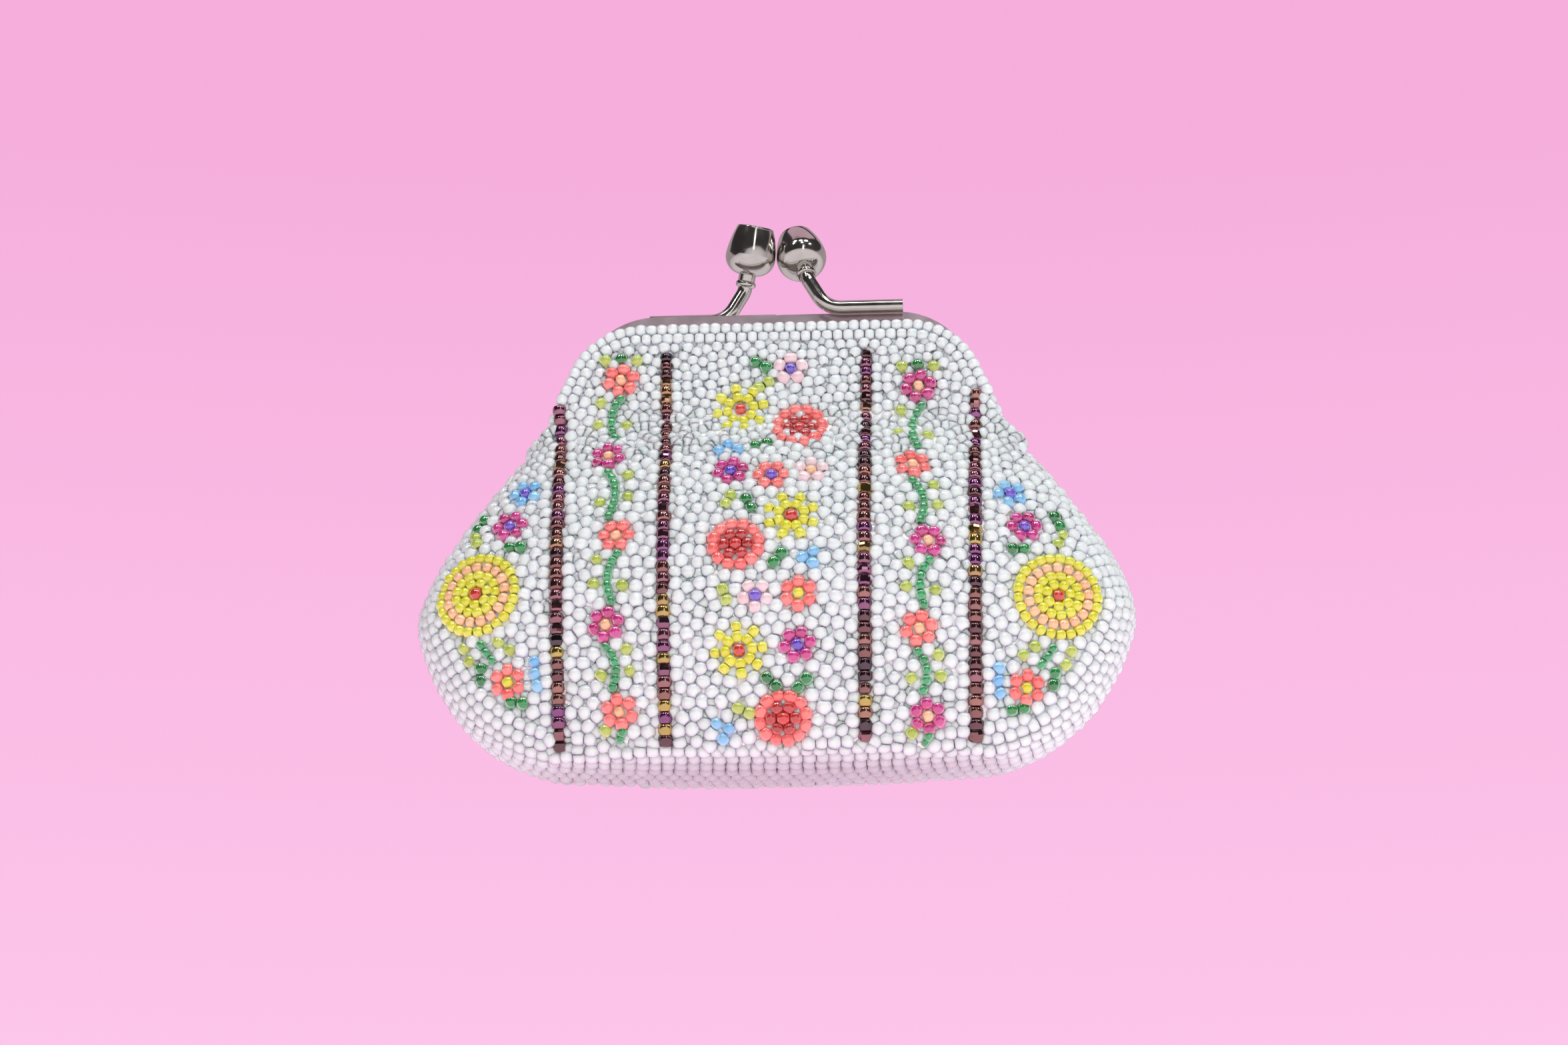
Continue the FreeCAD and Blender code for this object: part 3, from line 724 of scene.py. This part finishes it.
def new_mesh(name, points, faces, rear, smooth=True, slots=0):
    """A mesh object from points of the front, which are turned round the upright axis for the rear."""
    points = (points * (-1, -1, 1) if rear else points) * MM
    mesh = bpy.data.meshes.new(name)
    mesh.vertices.add(len(points))
    mesh.vertices.foreach_set("co", np.ascontiguousarray(points, np.float32).ravel())
    mesh.loops.add(faces.size)
    mesh.loops.foreach_set("vertex_index", np.ascontiguousarray(faces, np.int32).ravel())
    mesh.polygons.add(len(faces))
    mesh.polygons.foreach_set("loop_start", np.arange(0, faces.size, 4, dtype=np.int32))
    mesh.polygons.foreach_set("material_index", np.broadcast_to(slots, len(faces)).astype(np.int32))
    mesh.update(calc_edges=True)
    mesh.polygons.foreach_set("use_smooth", np.broadcast_to(smooth, len(faces)).astype(bool))
    mesh.validate()
    piece = bpy.data.objects.new(name, mesh)
    bpy.context.scene.collection.objects.link(piece)
    return piece


# How much beads differ, and the share of it where they are threaded in a row
SIZE_SPREAD, SIZE_LIMIT = 0.05, 0.1
TILT_SPREAD = 0.16
SINK_SPREAD = 0.10
NEAT_SHARE = 0.4


def bead_piece(name, rows, rear, seed):
    """One mesh of many beads, with a material slot for each kind and a random tint for each bead."""
    chance = np.random.default_rng(seed)
    kinds = sorted({row[1] for row in rows})
    all_points, all_faces, smooth, slots, tints = [], [], [], [], []
    used = 0
    for slot_index, kind in enumerate(kinds):
        radius, half_length, shape = KINDS[kind]
        chosen = [row for row in rows if row[1] == kind]
        count = len(chosen)
        places, axes, normals = (np.array([row[k] for row in chosen]) for k in (2, 3, 4))
        loose = 1 if kind == "pearl" else NEAT_SHARE
        axes = unit(axes + normals * chance.normal(0, TILT_SPREAD * loose, (count, 1)))
        third = unit(np.cross(axes, normals))
        normals_square = np.cross(third, axes)
        share = bead_share(places[:, 2:]) if kind in PEARLS + IRISES else np.ones((count, 1))
        spread = chance.normal(0, SIZE_SPREAD, (2, count, 1)).clip(-SIZE_LIMIT, SIZE_LIMIT)
        size = share * (1 + spread[0])
        lengths = half_length * share * (1 + spread[1])
        sink = chance.normal(0, SINK_SPREAD * loose, (count, 1))
        centres = places - normals * (radius + np.abs(sink))
        template, faces = bead_template(shape)
        spin = chance.uniform(0, 2 * math.pi, (count, 1, 1))
        wide = template[None, :, 1:2] * np.cos(spin) - template[None, :, 2:3] * np.sin(spin)
        high = template[None, :, 1:2] * np.sin(spin) + template[None, :, 2:3] * np.cos(spin)
        points = centres[:, None] + axes[:, None] * (template[None, :, :1] * lengths[:, None])
        points = points + third[:, None] * (wide * radius * size[:, None])
        points = points + normals_square[:, None] * (high * radius * size[:, None])
        all_points.append(points.reshape(-1, 3))
        starts = used + np.arange(count) * len(template)
        all_faces.append((faces[None] + starts[:, None, None]).reshape(-1, 4))
        smooth.append(np.full(count * len(faces), shape != "cut"))
        slots.append(np.full(count * len(faces), slot_index))
        tints.append(np.repeat(chance.uniform(0, 1, count), len(template)))
        used += count * len(template)
    points, faces = np.concatenate(all_points), np.concatenate(all_faces)
    piece = new_mesh(name, points, faces, rear, np.concatenate(smooth), np.concatenate(slots))
    tint = piece.data.attributes.new("tint", "FLOAT", "POINT")
    tint.data.foreach_set("value", np.concatenate(tints).astype(np.float32))
    for kind in kinds:
        piece.data.materials.append(bead_material(kind))
    return piece


# Materials

BUMP_DISTANCE = 0.1 * MM


class Tree:
    """The nodes of a material or world, with short ways to add to them."""

    def __init__(self, owner):
        owner.use_nodes = True
        self.nodes, self.links = owner.node_tree.nodes, owner.node_tree.links

    def add(self, kind, **values):
        node = self.nodes.new(f"ShaderNode{kind}")
        set_inputs(node, **values)
        return node

    def texture(self, kind, **values):
        """A texture laid on in the piece's own coordinates."""
        node = self.add(kind, **values)
        self.links.new(self.add("TexCoord").outputs["Object"], node.inputs["Vector"])
        return node

    def calculate(self, operation, *values):
        """The result of a calculation with sockets and numbers."""
        node = self.add("Math")
        node.operation = operation
        for socket, value in zip(node.inputs, values):
            if isinstance(value, float):
                socket.default_value = value
            else:
                self.links.new(value, socket)
        return node.outputs["Value"]

    def ramp(self, value, stops):
        """The colour that belongs to a value between stops."""
        node = self.add("ValToRGB")
        elements = node.color_ramp.elements
        while len(elements) < len(stops):
            elements.new(0.5)
        for element, (place, colour) in zip(elements, stops):
            element.position = place
            element.color = (*colour, 1)
        self.links.new(value, node.inputs["Fac"])
        return node.outputs["Color"]

    def bump(self, height, strength):
        node = self.add("Bump", Strength=strength, Distance=BUMP_DISTANCE)
        self.links.new(height, node.inputs["Height"])
        return node.outputs["Normal"]

    def either(self, choice, first, second):
        """The second shader where choice is one, and otherwise the first."""
        node = self.add("MixShader")
        for socket, value in zip(node.inputs, (choice, first, second)):
            self.links.new(value, socket)
        return node.outputs["Shader"]

    def background(self, colour, strength=1.0):
        node = self.add("Background", Strength=strength)
        self.links.new(colour, node.inputs["Color"])
        return node.outputs["Background"]


def set_inputs(node, **values):
    for name, value in values.items():
        node.inputs[name.replace("_", " ")].default_value = value


def new_material(name):
    material = bpy.data.materials.new(name)
    tree = Tree(material)
    return material, tree, tree.nodes["Principled BSDF"]


# Colours of a kind from one end of its tint to the other, and how glassy and rough it is
PEARL = [(0, (0.89, 0.93, 0.92)), (0.5, (0.92, 0.955, 0.945)), (1, (0.94, 0.975, 0.965))]
IRIS = [
    (0.00, (0.10, 0.06, 0.08)), (0.22, (0.23, 0.09, 0.10)), (0.45, (0.38, 0.17, 0.15)),
    (0.65, (0.30, 0.09, 0.27)), (0.90, (0.46, 0.21, 0.17)), (0.98, (0.64, 0.46, 0.14)),
]
BEAD_LOOKS = {
    **{kind: (PEARL, 0.0, 0.12) for kind in PEARLS},
    "iris": (IRIS, 0.0, 0.17),
    "iris_cut": (IRIS, 0.0, 0.08),
    "coral": ([(0, (0.88, 0.14, 0.13)), (1, (0.93, 0.23, 0.21))], 0.10, 0.10),
    "magenta": ([(0, (0.50, 0.015, 0.17)), (1, (0.72, 0.05, 0.32))], 0.30, 0.08),
    "peach": ([(0, (0.95, 0.50, 0.26)), (1, (0.97, 0.60, 0.36))], 0.15, 0.12),
    "red": ([(0, (0.62, 0.02, 0.02)), (1, (0.75, 0.05, 0.04))], 0.25, 0.07),
    "dark_red": ([(0, (0.42, 0.02, 0.02)), (1, (0.58, 0.03, 0.03))], 0.25, 0.07),
    "yellow": ([(0, (0.74, 0.70, 0.01)), (1, (0.82, 0.80, 0.06))], 0.18, 0.08),
    "emerald": ([(0, (0.006, 0.16, 0.030)), (1, (0.012, 0.28, 0.055))], 0.40, 0.06),
    "stem": ([(0, (0.02, 0.28, 0.085)), (1, (0.04, 0.40, 0.14))], 0.30, 0.08),
    "olive": ([(0, (0.42, 0.52, 0.05)), (1, (0.56, 0.66, 0.12))], 0.22, 0.08),
    "blue": ([(0, (0.18, 0.50, 0.85)), (1, (0.32, 0.66, 0.92))], 0.22, 0.08),
    "violet": ([(0, (0.12, 0.06, 0.55)), (1, (0.20, 0.10, 0.68))], 0.25, 0.08),
    "pale_pink": ([(0, (0.92, 0.62, 0.66)), (1, (0.95, 0.74, 0.77))], 0.20, 0.12),
}
bead_materials = {}


def bead_material(kind):
    if kind in bead_materials:
        return bead_materials[kind]
    stops, glassy, rough = BEAD_LOOKS[kind]
    metallic = float(kind in IRISES)
    material, tree, shader = new_material(f"{kind}_bead")
    tint = tree.add("Attribute")
    tint.attribute_name = "tint"
    tree.links.new(tree.ramp(tint.outputs["Fac"], stops), shader.inputs["Base Color"])
    set_inputs(shader, Roughness=rough, Metallic=metallic, IOR=1.52, Transmission_Weight=glassy)
    set_inputs(shader, Coat_Weight=0.4 if metallic else 1.0, Coat_Roughness=0.03, Coat_IOR=1.9)
    if kind in PEARLS:
        set_inputs(shader, IOR=1.85, Thin_Film_Thickness=380.0, Thin_Film_IOR=1.38)
        set_inputs(shader, Subsurface_Weight=1.0, Subsurface_Scale=0.0016, Subsurface_Radius=(1, 1, 1))
    bead_materials[kind] = material
    return material


def metal_material(name, dark, light, rough_low, rough_high, metallic):
    """Nickel plate with faint handling marks."""
    material, tree, shader = new_material(name)
    smear = tree.texture("TexNoise", Scale=420.0, Detail=2.0).outputs["Fac"]
    rough = tree.add("MapRange", From_Min=0.25, From_Max=0.75, To_Min=rough_low, To_Max=rough_high)
    tree.links.new(smear, rough.inputs["Value"])
    tree.links.new(rough.outputs["Result"], shader.inputs["Roughness"])
    tree.links.new(tree.ramp(smear, [(0.2, dark), (0.8, light)]), shader.inputs["Base Color"])
    set_inputs(shader, Metallic=metallic)
    return material


def paper_material():
    """Twisted paper: pale brown with fine fibres."""
    material, tree, shader = new_material("twisted_paper")
    fibre = tree.texture("TexNoise", Scale=1800.0, Detail=6.0).outputs["Fac"]
    tone = tree.ramp(fibre, [(0.3, (0.50, 0.39, 0.27)), (0.7, (0.72, 0.62, 0.48))])
    tree.links.new(tone, shader.inputs["Base Color"])
    tree.links.new(tree.bump(fibre, 0.4), shader.inputs["Normal"])
    set_inputs(shader, Roughness=0.85)
    return material


def weave_material(name, dark, light, threads_per_mm, rough, sheen, lift):
    """Woven cloth: two crossed sets of threads with uneven colour."""
    material, tree, shader = new_material(name)
    threads = []
    for direction in ("X", "Z"):
        wave = tree.texture("TexWave", Scale=threads_per_mm / MM / 20 * math.pi, Distortion=0.6)
        wave.bands_direction = direction
        threads.append(wave.outputs["Fac"])
    both = tree.calculate("MAXIMUM", *threads)
    patch = tree.texture("TexNoise", Scale=160.0).outputs["Fac"]
    tone = tree.ramp(tree.calculate("MULTIPLY", both, patch), [(0.1, dark), (0.6, light)])
    tree.links.new(tone, shader.inputs["Base Color"])
    tree.links.new(tree.bump(both, lift), shader.inputs["Normal"])
    set_inputs(shader, Roughness=rough, Sheen_Weight=sheen)
    return material


# Fabric sheets

SHEET_ACROSS, SHEET_UP = 120, 110
# A sheet's lowest line, and the heights between which its lines stop being closer together
SHEET_FOOT, SHEET_CLOSE_TO, SHEET_EVEN_FROM = 0.02, 14.0, 14.5
# How far towards the edge the lines across close up
SHEET_EDGE_ANGLE = math.pi / 2 * 0.995


def sheet_grid(inset, flap_inset, flap_front, top):
    """A fabric layer of the front half, a little inside the bead surface."""
    share = np.linspace(0, 1, SHEET_UP)
    low = share[share < 0.5] * 2
    even = np.linspace(SHEET_EVEN_FROM, top, SHEET_UP - len(low))
    heights = np.concatenate([SHEET_CLOSE_TO * low**2 + SHEET_FOOT, even])
    across = np.sin(np.linspace(-1, 1, SHEET_ACROSS) * SHEET_EDGE_ANGLE) / math.sin(SHEET_EDGE_ANGLE)
    outer = front_point(across[None], heights[:, None])
    normal = outward(settle(outer.reshape(-1, 3))).reshape(outer.shape)
    inner = outer - normal * inset
    flat = front_point(across[None], heights[:, None], flap_inset, flap_front)
    weight = flatness(heights)[:, None, None]
    inner = inner + (flat - inner) * weight
    inner[..., 1] = np.minimum(inner[..., 1], 0)
    return inner


def fabric(name, grid, rear, material, thickness):
    piece = new_mesh(name, grid.reshape(-1, 3), grid_faces(*grid.shape[:2]), rear)
    piece.data.materials.append(material)
    solid = piece.modifiers.new("thickness", "SOLIDIFY")
    solid.thickness = thickness * MM
    solid.offset = 0
    return piece


# Along a line across the hem: distance from the parting plane and inset from the flap's outline
HEM_PROFILE = [
    (5.30, 1.00), (5.32, 0.55), (5.22, 0.32), (4.95, 0.24),
    (3.80, 0.24), (3.58, 0.34), (3.50, 0.60), (3.50, 2.00),
]
# The turned-in edge and the cord end above the hinge ears
CHANNEL_FOOT = 60.8


def hem_grid():
    """The cloth's edge, turned over the frame's outer wall into its channel."""
    lines = []
    for depth, inset in HEM_PROFILE:
        outline = flap_outline(inset, CHANNEL_FOOT)
        lines.append(np.stack([outline[:, 0], np.full(len(outline), -depth), outline[:, 1]], axis=1))
    return np.array(lines)


CORD_INSET, CORD_DEPTH = 1.82, 2.08
CORD_STEP, CORD_TURN = 0.3, 5.0
PLY_RADIUS, PLY_LIFT, PLY_SPREAD = 0.56, 0.36, 1.5
PLY_SIDES = 10


def paper_cord(name, rear):
    """Two plies of paper twisted round each other, pressed into the channel."""
    outline = flap_outline(CORD_INSET, CHANNEL_FOOT)
    line, ahead = along(np.insert(outline, 1, -CORD_DEPTH, axis=1), CORD_STEP)
    inwards = np.cross(ahead, (0.0, 1.0, 0.0))
    depthwise = np.array((0.0, 1.0, 0.0))
    turns = np.arange(len(line)) * CORD_STEP / CORD_TURN * 2 * math.pi
    round_ply = np.arange(PLY_SIDES) * 2 * math.pi / PLY_SIDES
    points, faces = [], []
    for ply in range(2):
        angle = turns + ply * math.pi
        middle = line + inwards * (PLY_LIFT * PLY_SPREAD * np.cos(angle))[:, None]
        middle = middle + depthwise * (PLY_LIFT * np.sin(angle))[:, None]
        rings = middle[:, None] + inwards[:, None] * (PLY_RADIUS * np.cos(round_ply))[None, :, None]
        rings = rings + depthwise * (PLY_RADIUS * np.sin(round_ply))[None, :, None]
        faces.append(grid_faces(len(line), PLY_SIDES, round_columns=True) + ply * rings.size // 3)
        points.append(rings.reshape(-1, 3))
    piece = new_mesh(name, np.concatenate(points), np.concatenate(faces), rear)
    piece.data.materials.append(paper)
    return piece


# Building

cloth_cream = weave_material("ground_cloth", (0.90, 0.90, 0.88), (0.96, 0.96, 0.95), 3.0, 0.9, 0.1, 0.5)
satin = weave_material("satin_lining", (0.72, 0.66, 0.60), (0.90, 0.86, 0.81), 6.0, 0.42, 0.2, 0.2)
nickel = metal_material("nickel_plate", (0.50, 0.47, 0.44), (0.62, 0.59, 0.56), 0.07, 0.17, 1.0)
# The frame channel's nickel is tinted mauve: a painted reflection of the pink room round it
nickel_with_painted_reflection = metal_material("nickel_with_painted_reflection", (0.55, 0.42, 0.47), (0.68, 0.53, 0.59), 0.29, 0.36, 0.85)
paper = paper_material()

METAL = ("frame_channel", "clasp_arm", "clasp_collar", "clasp_knob")
# The white ground is cut into parts across the purse
FIELD_EDGES = (-26.0, 0.0, 26.0)
FIELD_PARTS = ("far_left", "left", "right", "far_right")
# Each fabric layer: its inset from the bead surface, its inset from the flap's outline, its distance from the
# parting plane on the flap, its top edge, material, thickness and slot
LAYERS = (
    ("cloth", 1.3, 0.3, 5.4, FLAP_TOP - 0.3, cloth_cream, 0.4, "ground_cloth"),
    ("lining", 3.35, 4.25, 3.9, FLAP_TOP - 4.3, satin, 0.3, "lining"),
)
SEEDS = {"front": 7, "rear": 11}
SEEDS_PER_SIDE = 100

for side, seed in SEEDS.items():
    rear = side == "rear"
    body = f"{side}_frame"
    beads = pattern(seed)
    field(beads, seed + 1)
    groups = {}
    for row in beads.rows:
        group = row[0]
        if group == "field":
            group = f"field_{FIELD_PARTS[int(np.searchsorted(FIELD_EDGES, row[2][0]))]}"
        groups.setdefault(group, []).append(row)
    bead_nodes = [f"{side}_{part}_beads" for part in ("pouch", "fold", "flap")]
    for number, (group, rows) in enumerate(sorted(groups.items())):
        piece = bead_piece(f"{side}_{group}_beads_sewn", rows, rear, seed * SEEDS_PER_SIDE + number)
        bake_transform(piece)
        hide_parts(*bead_nodes)
    for layer, inset, flap_inset, flap_front, top, material, thickness, slot in LAYERS:
        grid = sheet_grid(inset, flap_inset, flap_front, top)
        piece = fabric(f"{side}_{layer}_panel", grid, rear, material, thickness)
        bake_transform(piece)
        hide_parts(*[f"{side}_{part}_{layer}" for part in ("pouch", "fold", "flap")])
        if layer == "cloth":
            hem = fabric(f"{side}_cloth_hem", hem_grid(), rear, material, thickness)
            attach(hem, body)
    cord = paper_cord(f"{side}_twisted_paper", rear)
    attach(cord, body)
    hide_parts(f"{side}_paper_cord")

for name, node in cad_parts.items():
    if any(name.endswith(part) for part in METAL) or name.startswith("hinge_rivet"):
        node.data.materials.clear()
        node.data.materials.append(nickel_with_painted_reflection if name.endswith("frame_channel") else nickel)

# Stage, light and camera

PAPER_HIGH, PAPER_LOW = (0.92, 0.425, 0.72), (0.99, 0.58, 0.84)
FLOOR_PINK = (0.92, 0.83, 0.87)
FLOOR_REACH, FLOOR_LEVEL = 3.0, -0.0004
# What metal and glass reflect: a dark room that is pale low down and behind
ROOM_DARK, ROOM_PALE = (0.085, 0.078, 0.078), (0.95, 0.78, 0.86)
ROOM_TILT, ROOM_STRENGTH = -0.9, 0.55
# The soft light from below and above, and the shaded paper on the left
SOFT_LOW, SOFT_HIGH = (1.0, 0.92, 0.94), (0.91, 1.0, 0.985)
SOFT_LEFT = (0.24, 0.12, 0.16)
SOFT_STRENGTH = 1.0
WHITE, PLAIN, ROSE = (0.95, 1.0, 0.98), (1.0, 1.0, 1.0), (1.0, 0.66, 0.80)
KEY, SPARK = ((0, 0, 0.04), (0.14, 0.14), 0.4, WHITE, 180), ((0, 0, 0.04), (0.05, 0.05), 0.38, WHITE, 180)
# Name and place of each lamp, where it aims, its size, power, colour and spread
LAMPS = [
    ("key_left", (-0.27, -0.40, 0.75), *KEY),
    ("key_middle", (0.0, -0.46, 0.78), *KEY),
    ("key_right", (0.25, -0.40, 0.75), *KEY),
    ("spark_left", (-0.32, -0.48, 0.58), *SPARK),
    ("spark_middle", (0.08, -0.58, 0.60), *SPARK),
    ("spark_right", (0.42, -0.42, 0.48), *SPARK),
    ("strip", (0.22, -0.85, 0.16), (0, 0, 0.05), (0.10, 0.60), 0.056, PLAIN, 60),
    ("top", (0.0, 0.15, 0.8), (0, 0, 0.05), (0.6, 0.4), 0.5, ROSE, 180),
    ("bounce", (0.0, -0.12, -0.50), (0, 0, 0.0), (0.7, 0.6), 3.0, ROSE, 180),
]
# The camera: the photo's width and focal length in pixels, how far its middle is shifted, and where it stands
PHOTO_WIDTH, FOCAL_PIXELS = 2352, 6120
SHIFT_PIXELS = (12, 41)
SENSOR_WIDTH, CLIP_START = 36.0, 0.01
AZIMUTH, ELEVATION, DISTANCE = math.radians(3.0), math.radians(-24.5), 0.6
AIM = Vector((0, 0, 0.036))


def floor():
    """A pale floor that can be looked through from beneath."""
    mesh = bpy.data.meshes.new("floor")
    ways = ((-1, -1), (1, -1), (1, 1), (-1, 1))
    corners = [(x * FLOOR_REACH, y * FLOOR_REACH, FLOOR_LEVEL) for x, y in ways]
    mesh.from_pydata(corners, [], [(0, 1, 2, 3)])
    piece = bpy.data.objects.new("floor", mesh)
    bpy.context.scene.collection.objects.link(piece)
    material, tree, shader = new_material("floor_paper")
    set_inputs(shader, Base_Color=(*FLOOR_PINK, 1), Roughness=0.9)
    clear = tree.add("BsdfTransparent").outputs["BSDF"]
    surface = tree.either(tree.add("NewGeometry").outputs["Backfacing"], shader.outputs["BSDF"], clear)
    tree.links.new(surface, tree.nodes["Material Output"].inputs["Surface"])
    piece.data.materials.append(material)
    piece.visible_shadow = False


def lamp(name, place, target, size, power, colour, spread):
    data = bpy.data.lights.new(name, "AREA")
    data.shape = "RECTANGLE"
    data.size, data.size_y = size
    data.energy = power
    data.color = colour
    data.spread = math.radians(spread)
    light = bpy.data.objects.new(name, data)
    light.location = place
    light.rotation_mode = "QUATERNION"
    light.rotation_quaternion = (Vector(target) - Vector(place)).to_track_quat("-Z", "Y")
    bpy.context.scene.collection.objects.link(light)


def surroundings():
    """Pink paper for the camera, the room for reflections and soft light for everything else."""
    world = bpy.data.worlds.new("studio")
    bpy.context.scene.world = world
    tree = Tree(world)
    tree.nodes.remove(tree.nodes["Background"])
    split = tree.add("SeparateXYZ")
    tree.links.new(tree.add("TexCoord").outputs["Generated"], split.inputs["Vector"])
    x, y, z = split.outputs
    toward = tree.calculate("MULTIPLY_ADD", y, ROOM_TILT, z)
    room = tree.ramp(toward, [(0.0, ROOM_PALE), (0.24, ROOM_PALE), (0.30, ROOM_DARK), (1.0, ROOM_DARK)])
    level, across = (tree.calculate("MULTIPLY_ADD", way, 0.5, 0.5) for way in (z, x))
    soft = tree.add("MixRGB", Fac=1.0)
    soft.blend_type = "MULTIPLY"
    tree.links.new(tree.ramp(level, [(0.30, SOFT_LOW), (0.50, SOFT_HIGH)]), soft.inputs["Color1"])
    tree.links.new(tree.ramp(across, [(0.10, SOFT_LEFT), (0.42, PLAIN)]), soft.inputs["Color2"])
    backdrop = tree.ramp(z, [(0.27, PAPER_LOW), (0.50, PAPER_HIGH)])
    ray = tree.add("LightPath").outputs
    soft_light = tree.background(soft.outputs["Color"], SOFT_STRENGTH)
    light = tree.either(ray["Is Glossy Ray"], soft_light, tree.background(room, ROOM_STRENGTH))
    seen = tree.either(ray["Is Camera Ray"], light, tree.background(backdrop))
    tree.links.new(seen, tree.nodes["World Output"].inputs["Surface"])
    bpy.context.scene.view_settings.view_transform = "Standard"


floor()
surroundings()
for values in LAMPS:
    lamp(*values)

backward = Vector((
    math.sin(AZIMUTH) * math.cos(ELEVATION), -math.cos(AZIMUTH) * math.cos(ELEVATION), math.sin(ELEVATION)
))
camera = bpy.data.objects.new("camera", bpy.data.cameras.new("camera"))
camera.data.sensor_width = SENSOR_WIDTH
camera.data.lens = FOCAL_PIXELS / PHOTO_WIDTH * SENSOR_WIDTH
camera.data.shift_x, camera.data.shift_y = (pixels / PHOTO_WIDTH for pixels in SHIFT_PIXELS)
camera.data.clip_start = CLIP_START
camera.location = AIM + backward * DISTANCE
camera.rotation_mode = "QUATERNION"
camera.rotation_quaternion = (-backward).to_track_quat("-Z", "Y")
bpy.context.scene.collection.objects.link(camera)
bpy.context.scene.camera = camera

bpy.context.view_layer.update()
